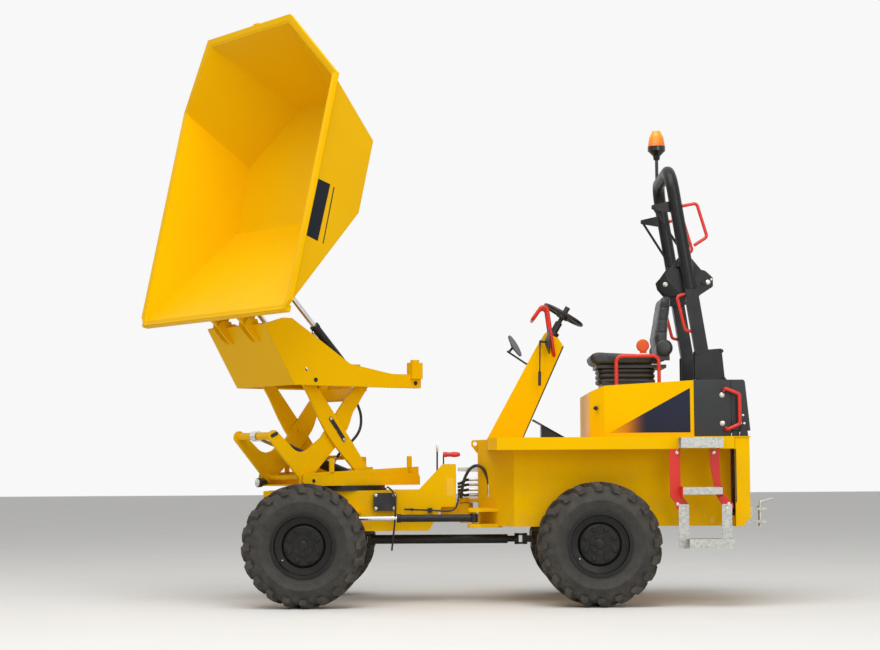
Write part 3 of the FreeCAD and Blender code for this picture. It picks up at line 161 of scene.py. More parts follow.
def skin(mesh, rings):
    # Faces between rings of corners, closed at both ends.
    for one, two in zip(rings, rings[1:]):
        for i in range(len(one)):
            mesh.faces.new((one[i - 1], one[i], two[i], two[i - 1]))
    mesh.faces.new(rings[0])
    mesh.faces.new(list(reversed(rings[-1])))


def ring_points(x, z, radius, count=24, turn=0.0):
    return [(x + radius * math.cos(2 * math.pi * (i + turn) / count),
             z + radius * math.sin(2 * math.pi * (i + turn) / count)) for i in range(count)]


def plate(mesh, outline, low, high, axis="y", holes=()):
    # A flat plate: its outline and holes lie across the axis, from low to high along it.
    def corner(a, b, along):
        return (a, along, b) if axis == "y" else (a, b, along)

    edges = []
    for loop in (outline, *holes):
        verts = [mesh.verts.new(corner(a, b, low)) for a, b in loop]
        edges += [mesh.edges.new((verts[i - 1], verts[i])) for i in range(len(verts))]
    faces = [g for g in bmesh.ops.triangle_fill(mesh, edges=edges, use_beauty=True)["geom"]
             if isinstance(g, bmesh.types.BMFace)]
    new = bmesh.ops.extrude_face_region(mesh, geom=faces)["geom"]
    bmesh.ops.translate(mesh, vec=Vector(corner(0, 0, high - low)),
                        verts=[g for g in new if isinstance(g, bmesh.types.BMVert)])


def side_plate(mesh, outline, sideways, near, far):
    # A plate on one side of the machine, from near to far from its middle.
    plate(mesh, outline, *sorted((sideways * near, sideways * far)))


# The flank panel's plane, square to this normal and this far from the hinge.
PANEL_NORMAL = Vector((0.0075, 0.9604, -0.2784))
PANEL_REACH = 821.23
FILM_FOOT, FILM_TOP = 0.1, 0.7


def flank(points, lift, sideways):
    # Points on the skip's flank panel, lifted off it by some millimetres.
    places = []
    for x, z in points:
        y = (PANEL_REACH - PANEL_NORMAL.x * x - PANEL_NORMAL.z * z) / PANEL_NORMAL.y
        at = Vector((x, y, z)) + PANEL_NORMAL * lift
        places.append(Vector((at.x, at.y * sideways, at.z)))
    return places


def film(name, material, points, sideways, body, place, spot):
    # Thin film laid on a panel: a closed plate 0.6 mm thick with its rim.
    mesh = bmesh.new()
    skin(mesh, [[mesh.verts.new(at) for at in spot(points, lift, sideways)]
                for lift in (FILM_FOOT, FILM_TOP)])
    put(name, mesh, material, body, place)


dark_film, tree, shader, place = start("dark_vinyl_film", IOR=1.4, Specular_IOR_Level=0.15)
cloud = add(tree, "TexNoise", {"Vector": place, "Scale": 14.0, "Detail": 3})
tone = add(tree, "Mix", {0: cloud, 6: colour("#20242C"), 7: colour("#1A1D24")}, 2, data_type="RGBA")
sheen = add(tree, "MapRange", {"Value": cloud, "To Min": 0.23, "To Max": 0.35})
feed(tree, shader, Base_Color=tone, Roughness=sheen)
PANEL = [(-919, 135), (-926, 8), (-520, 20), (-520, 140)]
STRIPE = [(-921, -29), (-921, -40), (-523, -42), (-523, -33)]
for side_name, sideways in SIDES:
    film("skip_panel_" + side_name, dark_film, PANEL, sideways, "skip", SKIP, flank)
    film("skip_stripe_" + side_name, dark_film, STRIPE, sideways, "skip", SKIP, flank)
BACK_EDGE_X = -2093
TAB_FACE, TAB_THICK = 342, 12
tab = bmesh.new()
plate(tab, [(BACK_EDGE_X + 6, 18), (BACK_EDGE_X - 22, 24), (BACK_EDGE_X - 24, 96), (BACK_EDGE_X + 6, 102)],
      TAB_FACE, TAB_FACE + TAB_THICK, "z", [ring_points(BACK_EDGE_X - 6, 60, 12)])
put("skip_lifting_tab", tab, yellow, "skip", SKIP, 1.0)


# Fixings of the scissor: zinc plated hexagon bolts on washers, and ground pins.
# Zinc is a pale satin metal, chrome nearly a mirror, the oiled castings matt
# black with a coarse grain, and the charcoal enamel a satin dark grey.
def metal(name, light, dark, gloss, grain, bump=0.0001, metallic=1.0):
    # The grain is the width of a crystal in metres, drawn coarse enough to show.
    material, tree, shader, place = start(name, Metallic=metallic)
    spangle = add(tree, "TexVoronoi", {"Vector": place, "Scale": 1 / grain}, "Color")
    cells = add(tree, "SeparateColor", {"Color": spangle})
    tone = add(tree, "Mix", {0: cells, 6: colour(light), 7: colour(dark)}, 2, data_type="RGBA")
    satin = add(tree, "MapRange", {"Value": cells, "To Min": gloss, "To Max": gloss + 0.12})
    tooth = add(tree, "TexNoise", {"Vector": place, "Scale": 2 / grain, "Detail": 3})
    relief = add(tree, "Bump", {"Height": tooth, "Distance": bump, "Strength": 0.5})
    feed(tree, shader, Base_Color=tone, Roughness=satin, Normal=relief)
    return material


zinc = metal("zinc_plated_steel", "#DAD7CF", "#C4C0B6", 0.3, 0.006)
chrome = metal("hard_chrome", "#E2E2E0", "#D6D6D6", 0.1, 0.02, 0.00002)
oiled = metal("black_oiled_casting", "#2C2C2B", "#212121", 0.42, 0.01, 0.0002, 0.5)
charcoal = enamel("charcoal_enamel", "#2A2C2E", "#232527", 0.36, 0.1)
finish(chrome, "lift_rod tip_rods steer_rod")
finish(oiled, "slew_ring_lower slew_ring_upper lift_barrel tip_barrels steer_barrel shaft_tube shaft_spline"
              " engine_block")
finish(charcoal, "front_axle rear_axle slew_motor")


def turned(mesh, first, toward, profile, sides=24):
    # A turned form on an axis: the profile is (distance along, radius), ends closed.
    first = Vector(first)
    axis = (Vector(toward) - first).normalized()
    helper = Vector((0, 0, 1)) if abs(axis.z) < 0.9 else Vector((1, 0, 0))
    across = axis.cross(helper).normalized()
    up = across.cross(axis)
    skin(mesh, [[mesh.verts.new(first + axis * along + across * a + up * b)
                 for a, b in ring_points(0, 0, radius, sides)] for along, radius in profile])


def bolt(mesh, at, outward, across=19, head=9):
    # Washer and chamfered hexagon head, standing off the face at the point.
    at, outward = Vector(at), Vector(outward).normalized()
    turned(mesh, at, at + outward, [(-1, across * 0.8), (2, across * 0.8), (2.6, across * 0.74)], 20)
    corner = across / 1.732
    turned(mesh, at, at + outward, [(1, corner), (head * 0.85 + 2, corner), (head + 2, corner * 0.86)], 6)


def pin_end(mesh, at, sideways, radius, stand):
    turned(mesh, at, Vector(at) + Vector((0, sideways, 0)),
           [(-2, radius), (stand - 2, radius), (stand, radius - 2)], 28)


FOOT_PIN_X, FOOT_PIN_Z = 470, 885
LEVEL_PIN_X, LEVEL_PIN_Z = -418, 1560
ARM_REACH = 860
LIFT_ANGLE = math.radians(52)
TOP_PIN_Z = FOOT_PIN_Z + ARM_REACH * math.sin(LIFT_ANGLE)
INNER_ARM = SLEWED @ Matrix.Translation((FOOT_PIN_X, 0, FOOT_PIN_Z)) @ Matrix.Rotation(LIFT_ANGLE, 4, "Y")
OUTER_ARM = SLEWED @ Matrix.Translation((FOOT_PIN_X, 0, TOP_PIN_Z)) @ Matrix.Rotation(-LIFT_ANGLE, 4, "Y")

pins = bmesh.new()
caps = bmesh.new()
base_bolts = bmesh.new()
for sideways in (1, -1):
    for x, z in ((FOOT_PIN_X, TOP_PIN_Z), (LEVEL_PIN_X, LEVEL_PIN_Z)):
        pin_end(pins, (x, sideways * 360, z), sideways, 15, 7)
    turned(caps, (LEVEL_PIN_X, sideways * 354, 1704), (LEVEL_PIN_X, sideways * 354, 1730),
           [(0, 17), (4, 17), (5, 12), (20, 12), (24, 8)], 20)
    pin_end(base_bolts, (FOOT_PIN_X, sideways * 250, FOOT_PIN_Z), sideways, 20, 8)
    bolt(base_bolts, (430, sideways * 280, 862), (0, sideways, 0), 17)
put("top_frame_pin_ends", pins, oiled, "top_frame", SLEWED)
put("buffer_caps", caps, zinc, "top_frame", SLEWED)
put("slew_base_bolts", base_bolts, oiled, "slewing_base", SLEWED)

# Slewing base: welded steel rails that guide the scissor's rollers, with two
# end stops on each, in the yellow enamel, and a small work lamp in a black
# turned housing on a square block.
RAIL_INNER, RAIL_OUTER = 267.6, 280.4
for side_name, sideways in SIDES:
    mesh = bmesh.new()
    side_plate(mesh, [(440, 905), (440, 917), (-508, 958), (-508, 905)], sideways, RAIL_INNER, RAIL_OUTER)
    for x, top in ((-446, 1034), (252, 1020)):
        side_plate(mesh, [(x, 912), (x + 38, 912), (x + 38, top), (x + 6, top), (x, top - 10)],
                   sideways, RAIL_INNER, RAIL_OUTER)
    put("roller_rail_cap_" + side_name, mesh, yellow, "slewing_base", SLEWED, 1.5)
LAMP_Y, LAMP_Z = -205, 850
LAMP_FRONT = (624, LAMP_Y, LAMP_Z)
mesh = bmesh.new()
turned(mesh, (524, LAMP_Y, LAMP_Z), LAMP_FRONT, [(-8, 12), (4, 22), (18, 32), (46, 34), (52, 31)], 28)
plate(mesh, [(500, LAMP_Z - 16), (530, LAMP_Z - 16), (530, LAMP_Z + 16), (500, LAMP_Z + 16)],
      LAMP_Y - 17, LAMP_Y + 17)
put("work_lamp", mesh, charcoal, "slewing_base", SLEWED, 1.0)
mesh = bmesh.new()
turned(mesh, (574, LAMP_Y, LAMP_Z), LAMP_FRONT, [(0, 29), (4, 28), (8, 20), (9, 8)], 28)
put("work_lamp_lens", mesh, zinc, "slewing_base", SLEWED)


# Scissor arms: yellow cheeks that widen towards the crossing, cut from plate,
# a little proud of the arms on both faces and deeper on the side that keeps
# clear when the lift is down. Black flat bars keep the pins.
def round_bar(middle, length, width, lean=0.0):
    # The outline of a flat bar with round ends.
    reach = (length - width) / 2
    end = [(reach + width / 2 * math.cos(a), width / 2 * math.sin(a))
           for a in [math.radians(-90 + 18 * k) for k in range(11)]]
    turn = Matrix.Rotation(lean, 2)
    return [tuple(Vector(middle) + turn @ Vector(point)) for point in end + [(-x, -z) for x, z in end]]


# body, its frame, inner and outer face, outline
CHEEKS = (
    ("inner_arms", INNER_ARM, 204.5, 225.4,
     [(-884, 26), (-858, 44), (-760, 50), (-640, 58), (-260, 58), (-24, 45), (-24, -43), (-100, -54),
      (-170, -63), (-260, -74), (-360, -85), (-430, -87), (-500, -85), (-545, -76), (-590, -60),
      (-630, -51), (-700, -50), (-858, -44), (-884, -26)]),
    ("outer_arms", OUTER_ARM, 231.6, 252.5,
     [(-884, 26), (-858, 44), (-430, 51), (-24, 44), (-24, -44), (-100, -50), (-170, -62), (-260, -76),
      (-360, -86), (-430, -87), (-500, -86), (-600, -75), (-700, -63), (-790, -52), (-858, -43),
      (-884, -26)]))
CROSSING_X = -ARM_REACH / 2
CROSSING_FACE, CROSSING_KEEPER_FACE = 252.8, 258.8
KEEPER_LENGTH, KEEPER_WIDTH = 215, 30
KEEPER_BOLT_REACH = (KEEPER_LENGTH - KEEPER_WIDTH) / 2
FOOT_FACE, FOOT_KEEPER_FACE = 225.2, 228.2
LEVER_REACH = 385
LEVER_ANGLE = math.radians(101)
LEVER_KEEPER = (LEVER_REACH * math.cos(LEVER_ANGLE) - 4, LEVER_REACH * math.sin(LEVER_ANGLE) + 6)
for side_name, sideways in SIDES:
    for body, arm, inner, outer, outline in CHEEKS:
        mesh = bmesh.new()
        side_plate(mesh, outline, sideways, inner, outer)
        name = "arm_cheek_%s_%s" % (body.removesuffix("_arms"), side_name)
        put(name, mesh, yellow, body, arm, 1.5, 30)
    mesh = bmesh.new()
    side_plate(mesh, round_bar((CROSSING_X, 0), KEEPER_LENGTH, KEEPER_WIDTH), sideways,
               CROSSING_FACE, CROSSING_KEEPER_FACE)
    put("scissor_pin_keeper_" + side_name, mesh, charcoal, "outer_arms", OUTER_ARM, 1.2)
    mesh = bmesh.new()
    for along in (-KEEPER_BOLT_REACH, KEEPER_BOLT_REACH):
        bolt(mesh, (CROSSING_X + along, sideways * CROSSING_KEEPER_FACE, 0), (0, sideways, 0), 14, 6)
    put("scissor_pin_keeper_%s_bolts" % side_name, mesh, zinc, "outer_arms", OUTER_ARM)
    mesh = bmesh.new()
    side_plate(mesh, round_bar(LEVER_KEEPER, 66, 26, 0.5), sideways, FOOT_FACE, FOOT_KEEPER_FACE)
    put("foot_pin_keeper_" + side_name, mesh, charcoal, "inner_arms", INNER_ARM, 1.2)


# Hydraulics of the lift and the skip: hoses of matt black rubber, extruded and
# swaged in zinc ends. One loops along the scissor from the base to the top
# frame, and one runs beside each tipping cylinder.
def moulded(name, light, dark, gloss, grain, depth):
    # The grain is the width of a cell in metres. Clouds are about 60 mm wide.
    material, tree, shader, place = start(name)
    cloud = add(tree, "TexNoise", {"Vector": place, "Scale": 16.0, "Detail": 3})
    tone = add(tree, "Mix", {0: cloud, 6: colour(light), 7: colour(dark)}, 2, data_type="RGBA")
    satin = add(tree, "MapRange", {"Value": cloud, "From Min": 0.3, "From Max": 0.7,
                                   "To Min": gloss - 0.05, "To Max": gloss + 0.08})
    cells = add(tree, "TexVoronoi", {"Vector": place, "Scale": 1 / grain})
    edge = add(tree, "Bevel", {"Radius": 0.003}, samples=4)
    relief = add(tree, "Bump", {"Height": cells, "Distance": depth, "Strength": 0.6, "Normal": edge})
    feed(tree, shader, Base_Color=tone, Roughness=satin, Normal=relief)
    return material


hose_rubber = moulded("black_hose_rubber", "#1E1E1E", "#161616", 0.45, 0.003, 0.0001)


def hose(name, points, width, body, place=MACHINE, ends=2, swage=42):
    # A hose on one smooth curve. Its swaged ends are counted from its last point.
    line = bpy.data.curves.new(name, "CURVE")
    line.dimensions = "3D"
    line.bevel_depth = width / 2000
    line.bevel_resolution = 4
    line.resolution_u = 8
    line.use_fill_caps = True
    spline = line.splines.new("NURBS")
    spline.points.add(len(points) - 1)
    for point, at in zip(spline.points, points):
        point.co = (*(place @ Vector(at)), 1)
    spline.order_u = 3
    spline.use_endpoint_u = True
    line.materials.append(hose_rubber)
    item = bpy.data.objects.new(name, line)
    scene.collection.objects.link(item)
    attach(item, body)
    if ends:
        mesh = bmesh.new()
        for at, toward in ((points[-1], points[-2]), (points[0], points[1]))[:ends]:
            turned(mesh, at, toward,
                   [(-6, width * 0.42), (0, width * 0.68), (10, width * 0.68), (11, width * 0.56),
                    (swage - 8, width * 0.62), (swage, width * 0.56)], 16)
        put(name + "_ends", mesh, zinc, body, place)


hose("scissor_hose_lower", [(150, 130, 990), (80, 130, 1080), (-30, 130, 1150), (-95, 130, 1230),
                            (-100, 130, 1330), (-70, 130, 1400), (-30, 130, 1470), (-20, 130, 1530)],
     20, "inner_arms", SLEWED)
TIP_PIN = (80, 0, 1605)
TIP_BARRELS = SLEWED @ Matrix.Translation(TIP_PIN) @ Matrix.Rotation(-math.radians(45.65), 4, "Y")
TIP_HOSE = ((14, -36), (80, -58), (200, -52), (330, -52), (420, -46), (456, -36))
TIP_HOSE_Y = 262
for side_name, sideways in SIDES:
    hose("tip_hose_" + side_name, [(x, sideways * TIP_HOSE_Y, z) for x, z in TIP_HOSE],
         15, "tip_barrels", TIP_BARRELS)

# Front chassis: a pressed cover on the slew motor, a plain yellow film plate on
# the tower, a lock bar with a red grip, a thin flexible rod and a strap, and
# the steering pipe in its clamp. The red coating gives a clean gloss.
COVER_INNER, COVER_OUTER = 346.3, 354
mesh = bmesh.new()
plate(mesh, [(388, 660), (396, 648), (540, 648), (550, 662), (550, 764), (540, 774), (396, 774), (386, 762)],
      COVER_INNER, COVER_OUTER)
put("slew_motor_cover", mesh, charcoal, "front_chassis", MACHINE, 2.0)
mesh = bmesh.new()
for x, z in ((404, 757), (404, 664), (534, 757), (534, 664)):
    bolt(mesh, (x, COVER_OUTER, z), (0, 1, 0), 15, 7)
put("slew_motor_bolts", mesh, zinc, "front_chassis")
blank = enamel("blank_plate_film", "#F5C22A", "#F1BB20", 0.3, 0.1, 0.4, 0.0)
mesh = bmesh.new()
plate(mesh, [(-18, 748), (36, 748), (36, 876), (-18, 876)], 306.1, 306.9)
put("tower_blank_plate", mesh, blank, "front_chassis")
red = enamel("red_coated_bar", "#E0301F", "#CE281A", 0.35, 0.3, 1.0, 0.1)
finish(red, "armrest_hoops column_guard ladder_rails grab_handles rops_handle")
GRIP_Y, GRIP_Z = 262, 1041
mesh = bmesh.new()
turned(mesh, (60, GRIP_Y, GRIP_Z), (-70, GRIP_Y, GRIP_Z),
       [(0, 14), (3, 18), (26, 19), (30, 16), (62, 16), (66, 19), (92, 19), (104, 17), (118, 13), (122, 8)])
put("lock_grip", mesh, red, "front_chassis")
ROD_X, ROD_Y, ROD_TOP = 100, 296, 1062
mesh = bmesh.new()
turned(mesh, (56, GRIP_Y, GRIP_Z), (56, GRIP_Y, 900), [(0, 5), (130, 5)], 12)
plate(mesh, [(48, 900), (66, 900), (66, 940), (48, 940)], 255, 295)
turned(mesh, (ROD_X + 1, ROD_Y, 925), (ROD_X, ROD_Y, ROD_TOP), [(-30, 6), (139, 6)], 12)
put("lock_bars", mesh, oiled, "front_chassis")
mesh = bmesh.new()
turned(mesh, (ROD_X, ROD_Y, ROD_TOP), (ROD_X, ROD_Y, ROD_TOP + 46), [(0, 7), (4, 8), (40, 8), (46, 5)], 14)
put("rod_tip", mesh, zinc, "front_chassis")
mesh = bmesh.new()
plate(mesh, [(-44, 922), (-190, 916), (-190, 950), (-44, 948)], 150, 158)
turned(mesh, (-60, 146, 935), (-60, 166, 935), [(0, 10), (20, 10)], 16)
put("articulation_lock", mesh, zinc, "rear_chassis")
hose("hanging_strap", [(452, 330, 814), (432, 380, 806), (400, 424, 770), (390, 430, 660),
                       (402, 428, 520), (420, 424, 372)], 13, "front_chassis", MACHINE, 0)
PIPE_Y = 336
mesh = bmesh.new()
turned(mesh, (334, PIPE_Y, 658), (140, PIPE_Y, 649),
       [(0, 6), (40, 6), (41, 9), (64, 9), (65, 6), (194, 6)], 14)
put("steering_pipe", mesh, oiled, "front_chassis")
hose("steering_hose", [(142, PIPE_Y, 649), (80, 338, 645), (10, 338, 641), (-30, 330, 660),
                       (-48, 300, 720), (-54, 280, 780)], 12, "front_chassis", MACHINE, 0)
mesh = bmesh.new()
plate(mesh, [(136, 634), (168, 634), (168, 666), (136, 666)], 306, PIPE_Y + 14)
put("pipe_clamp", mesh, charcoal, "front_chassis", MACHINE, 2.0)

# Hoses between the chassis: rubber in long bright swaged ends beside the king
# pin. A bundle of four passes to the tower's rear edge, and one arches over
# them to a port on the nose.
BUNDLE = ((862, 92), (827, 60), (791, 96), (754, 66))
for number, (z, y) in enumerate(BUNDLE):
    low = z - 30 + 12 * number
    hose("chassis_hose_%d" % number, [(-44, y + 96, low), (-66, y + 92, low + 4), (-92, y + 44, z - 6),
                                      (-118, y + 20, z), (-158, y + 20, z), (-196, y + 20, z)],
         20, "rear_chassis", MACHINE, 1, 74)
hose("chassis_hose_arch", [(-66, 236, 730), (-76, 240, 830), (-116, 246, 925), (-165, 252, 966),
                           (-215, 266, 955), (-252, 282, 890), (-265, 288, 830), (-266, 288, 752)],
     22, "rear_chassis", MACHINE, 1, 76)
mesh = bmesh.new()
turned(mesh, (-266, 246, 748), (-266, 300, 748), [(0, 16), (28, 16), (29, 13), (52, 13), (54, 9)], 16)
put("hull_port", mesh, zinc, "rear_chassis")

# Rear chassis: pressed treads with toothed upper edges, bolted on the red
# ladder, and a hitch, both dipped in hot zinc, which leaves a dull spangled
# grey. The hitch has a bright drop pin.
galvanised = metal("galvanised_steel", "#BDBEB8", "#A6A8A3", 0.42, 0.012)
finish(galvanised, "ladder tow_hitch lower_step")
finish(zinc, "tow_pin")
TOOTH_HEIGHT, TOOTH_PITCH = 9, 19
TOOTH_ROWS, TOOTH_THICK = 5, 3


def teeth(mesh, rear, front, z, low, high):
    # A row of teeth cut in a thin strip along the machine.
    count = int((front - rear) / TOOTH_PITCH)
    step = (front - rear) / count
    top = z + TOOTH_HEIGHT
    outline = [(rear, z - 14)]
    for i in range(count):
        outline += [(rear + (i + 0.12) * step, z), (rear + (i + 0.3) * step, top),
                    (rear + (i + 0.7) * step, top), (rear + (i + 0.88) * step, z)]
    outline.append((front, z - 14))
    plate(mesh, outline, low, high)


# rear end, front end, upper face, inner side, outer side
TREADS = ((-1836, -1555, 1133, 790, 928), (-1824, -1566, 797, 790, 928), (-1830, -1620, 449, 796, 928))
for number, (rear, front, z, low, high) in enumerate(TREADS):
    mesh = bmesh.new()
    for row in range(TOOTH_ROWS):
        y = low + 2 + row * (high - low - 7) / (TOOTH_ROWS - 1)
        teeth(mesh, rear, front, z, y, y + TOOTH_THICK)
    put("tread_teeth_%d" % number, mesh, galvanised, "rear_chassis")
LADDER_FACE, LADDER_FOOT_FACE = 788.2, 797
mesh = bmesh.new()
for x, z in ((-1540, 690), (-1885, 690), (-1540, 1040), (-1790, 1040)):
    bolt(mesh, (x, LADDER_FACE, z), (0, 1, 0), 15, 7)
for x in (-1870, -1578):
    bolt(mesh, (x, LADDER_FOOT_FACE, 660), (0, 1, 0), 15, 7)
put("ladder_bolts", mesh, zinc, "rear_chassis")
mesh = bmesh.new()
plate(mesh, [(-1823, 554), (-1785, 554), (-1785, 602), (-1823, 602)], 560.1, 561.5)
put("rear_blank_plate", mesh, blank, "rear_chassis")
for side_name, sideways in SIDES:
    mesh = bmesh.new()
    side_plate(mesh, [(-1944, 700), (-1936, 700), (-1936, 1062), (-1944, 1062)], sideways, 772, 773.6)
    put("corner_seam_" + side_name, mesh, hose_rubber, "rear_chassis")

# Engine cover decal: a triangle of printed film on each side, fading from amber
# at its front corner to dark navy, with a thin yellow margin. It is left blank
# and gives the same dull sheen as the skip's panels.
COVER_SIDE = 640
FADE_FRONT, FADE_REAR = -1.07 + CAD_ORIGIN[0], -1.34 + CAD_ORIGIN[0]
fade, tree, shader, place = start("fading_decal_film", Roughness=0.26, IOR=1.4, Specular_IOR_Level=0.15)
along = add(tree, "SeparateXYZ", {"Vector": place}, "X")
first_half = add(tree, "MapRange", {"Value": along, "From Min": FADE_FRONT, "From Max": FADE_REAR})
warm = add(tree, "Mix", {0: first_half, 6: colour("#EFA204"), 7: colour("#9A5216")}, 2, data_type="RGBA")
second_half = add(tree, "MapRange", {"Value": along, "From Min": FADE_FRONT - 0.12,
                                     "From Max": FADE_REAR - 0.02}, interpolation_type="SMOOTHSTEP")
faded = add(tree, "Mix", {0: second_half, 6: warm, 7: colour("#262A3C")}, 2, data_type="RGBA")
feed(tree, shader, Base_Color=faded)


def cover_side(points, lift, sideways):
    return [Vector((x, sideways * (COVER_SIDE + lift), z)) for x, z in points]


for side_name, sideways in SIDES:
    film("cover_decal_" + side_name, fade, [(-1652, 1487), (-1652, 1180), (-1092, 1180)], sideways,
         "rear_chassis", MACHINE, cover_side)

# Engine cover fittings: a cast turn latch on the chamfered front corner, black
# rubber seals at the foot of the lid, its folded straps, and zinc bolts on
# these and on the grab handles.
mesh = bmesh.new()
latch = Vector((-1004, 610, 1352))
outward = Vector((0.707, 0.707, 0))
turned(mesh, latch, latch + outward, [(-6, 15), (5, 15), (7, 12)], 20)
grip = latch + outward * 5
turned(mesh, grip + Vector((-9, 9, 0)), grip + Vector((10, -10, 0)), [(-6, 5), (30, 5)], 10)
put("cover_latch", mesh, charcoal, "rear_chassis")
HANDLE_FACE = 644
STRAP_INNER, STRAP_OUTER = 644, 650
handle_bolts = bmesh.new()
for side_name, sideways in SIDES:
    for z in (1436, 1240):
        bolt(handle_bolts, (-1872, sideways * HANDLE_FACE, z), (0, sideways, 0), 22, 7)
    mesh = bmesh.new()
    side_plate(mesh, [(-1937, 1150.4), (-1988, 1150.4), (-1988, 1187), (-1937, 1187)], sideways, 632, 643.5)
    put("lid_foot_seal_" + side_name, mesh, hose_rubber, "rear_chassis", MACHINE, 1.0)
    mesh = bmesh.new()
    side_plate(mesh, [(-2034, 1190), (-1992, 1190), (-1988, 1306), (-2020, 1306)],
               sideways, STRAP_INNER, STRAP_OUTER)
    put("lid_strap_" + side_name, mesh, charcoal, "rear_lid", MACHINE, 1.2)
    mesh = bmesh.new()
    for x, z in ((-2022, 1240), (-1998, 1240), (-2014, 1296), (-1996, 1296)):
        bolt(mesh, (x, sideways * STRAP_OUTER, z), (0, sideways, 0), 10, 4)
    put("lid_strap_bolts_" + side_name, mesh, zinc, "rear_lid")
put("cover_handle_bolts", handle_bolts, zinc, "rear_chassis")
finish(charcoal, "rear_cover rear_lid lid_brackets pedal_box")


# Driver's place: controls and mirrors of black moulded plastic with a fine
# satin grain, a thin black strip down the column's rear edge as painted shade
# on its rear face, and a stuffed seat in black vinyl, whose leathery grain keeps
# a soft sheen, drawn in at its seams.
plastic = moulded("black_moulded_plastic", "#222324", "#1A1A1B", 0.38, 0.0012, 0.0001)
vinyl = moulded("black_seat_vinyl", "#292A2C", "#1E1F21", 0.4, 0.0016, 0.0002)
finish(plastic, "steering_wheel steering_stem seat_base mirrors")
# Painted shade: a thin black strip of the plastic stands for the column's rear face in shade.
mesh = bmesh.new()
plate(mesh, [(-509, 1152), (-516, 1152), (-815, 1812), (-810, 1820)], -88, 88)
put("column_edge_painted_shade_strip", mesh, plastic, "rear_chassis", MACHINE, 1.0)
mesh = bmesh.new()
for x, z in ((-745, 1752), (-733, 1786)):
    bolt(mesh, (x, 95.5, z), (0, 1, 0), 10, 4)
put("guard_bolts", mesh, zinc, "rear_chassis")
CLOTH_FRAMES = 20
PAD_ROUNDING = 22
PAD_SWELL = 0.009
SEAM_WIDTH, SEAM_DEPTH = 5, 0.005


def rounded_block(points, half_width):
    # The pad's start form: an outline in x and z, drawn in toward both sides.
    mesh = bmesh.new()
    middle = Vector([sum(values) / len(points) for values in zip(*points)])
    inset = half_width - PAD_ROUNDING
    skin(mesh, [[mesh.verts.new((middle.x + (x - middle.x) * keep, y, middle.y + (z - middle.y) * keep))
                 for x, z in points]
                for y, keep in ((-half_width, 0.86), (-inset, 1.0), (inset, 1.0), (half_width, 0.86))])
    return mesh


def settle(item):
    # Puts the form that its modifiers give in place of the item's mesh.
    settled = bpy.data.meshes.new_from_object(item.evaluated_get(bpy.context.evaluated_depsgraph_get()))
    item.modifiers.clear()
    item.data = settled


def pad(name, node, points, half_width, seams):
    # A stuffed pad: remeshed, blown up a little as cloth with sewn lines held back, then smoothed.
    item = put(name, rounded_block(points, half_width), vinyl, "rear_chassis")
    remesh = item.modifiers.new("remesh", "REMESH")
    remesh.mode = "VOXEL"
    remesh.voxel_size = 0.008
    settle(item)
    before = [vertex.co.copy() for vertex in item.data.vertices]
    cloth = item.modifiers.new("cloth", "CLOTH")
    cloth.settings.use_pressure = True
    cloth.settings.uniform_pressure_force = 4
    cloth.settings.effector_weights.gravity = 0
    cloth.point_cache.frame_start = 1
    cloth.point_cache.frame_end = CLOTH_FRAMES
    for number in range(1, CLOTH_FRAMES + 1):
        scene.frame_set(number)
    settle(item)
    scene.frame_set(1)
    x_middle, z_middle = ((min(values) + max(values)) / 2 for values in zip(*points))
    middle = MACHINE @ Vector((x_middle, 0, z_middle))
    for vertex, first in zip(item.data.vertices, before):
        move = vertex.co - first
        if move.length > PAD_SWELL:
            move *= PAD_SWELL / move.length
        at = first + move
        here = MACHINE.inverted() @ at
        sunk = max(math.exp(-((here[axis] - seam) / SEAM_WIDTH) ** 2) for axis, seam in seams)
        vertex.co = at + (middle - at).normalized() * sunk * SEAM_DEPTH
    item.data.polygons.foreach_set("use_smooth", [True] * len(item.data.polygons))
    smooth = item.modifiers.new("smooth", "SUBSURF")
    smooth.levels = 1
    smooth.render_levels = 1
    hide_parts(node)


# Seams are given as the axis that they lie across (0 to 2 for x to z) and their place on it.
pad("seat_cushion_pad", "seat_cushion",
    [(-1456, 1682), (-1462, 1726), (-1442, 1738), (-1230, 1748), (-1044, 1757), (-1002, 1752), (-986, 1728),
     (-1000, 1692), (-1030, 1682)], 224, ((1, 120), (1, -120), (0, -1120), (0, -1230), (0, -1340)))
pad("seat_back_pad", "seat_back",
    [(-1476, 1690), (-1478, 1800), (-1466, 1868), (-1520, 2166), (-1574, 2168), (-1552, 2000),
     (-1528, 1690)], 222, ((1, 120), (1, -120), (2, 1900), (2, 1990), (2, 2080)))

# Seat fittings: a moulded rubber bellows of three ribs under the cushion, a
# recliner housing of the black plastic at the foot of the back, and the belt's
# reel in woven orange webbing, which is flat in colour and has no shine.
RIBS = 3
BELLOWS_LOW, BELLOWS_HIGH = 1540, 1650
BELLOWS_X = -1258
BELLOWS_LENGTH, BELLOWS_WIDTH = 392, 344
RIB_DEPTH = 11
STEPS_UP = RIBS * 6
STEPS_ROUND = 48
mesh = bmesh.new()
rings = []
for k in range(STEPS_UP + 1):
    z = BELLOWS_LOW + (BELLOWS_HIGH - BELLOWS_LOW) * k / STEPS_UP
    push = RIB_DEPTH * abs(math.sin(math.pi * RIBS * k / STEPS_UP)) ** 0.5
    ring = []
    for a, b in ring_points(0, 0, 1, STEPS_ROUND):
        x, y = (abs(part) ** 0.25 * math.copysign(1, part) for part in (a, b))
        ring.append(mesh.verts.new((BELLOWS_X + x * (BELLOWS_LENGTH / 2 + push),
                                    y * (BELLOWS_WIDTH / 2 + push), z)))
    rings.append(ring)
skin(mesh, rings)
put("seat_bellows", mesh, hose_rubber, "rear_chassis", sharp=60)
mesh = bmesh.new()
for sideways in (1, -1):
    turned(mesh, (-1522, sideways * 236, 1790), (-1522, sideways * 260, 1790),
           [(-10, 50), (12, 60), (20, 58), (25, 50), (26, 20)], 32)
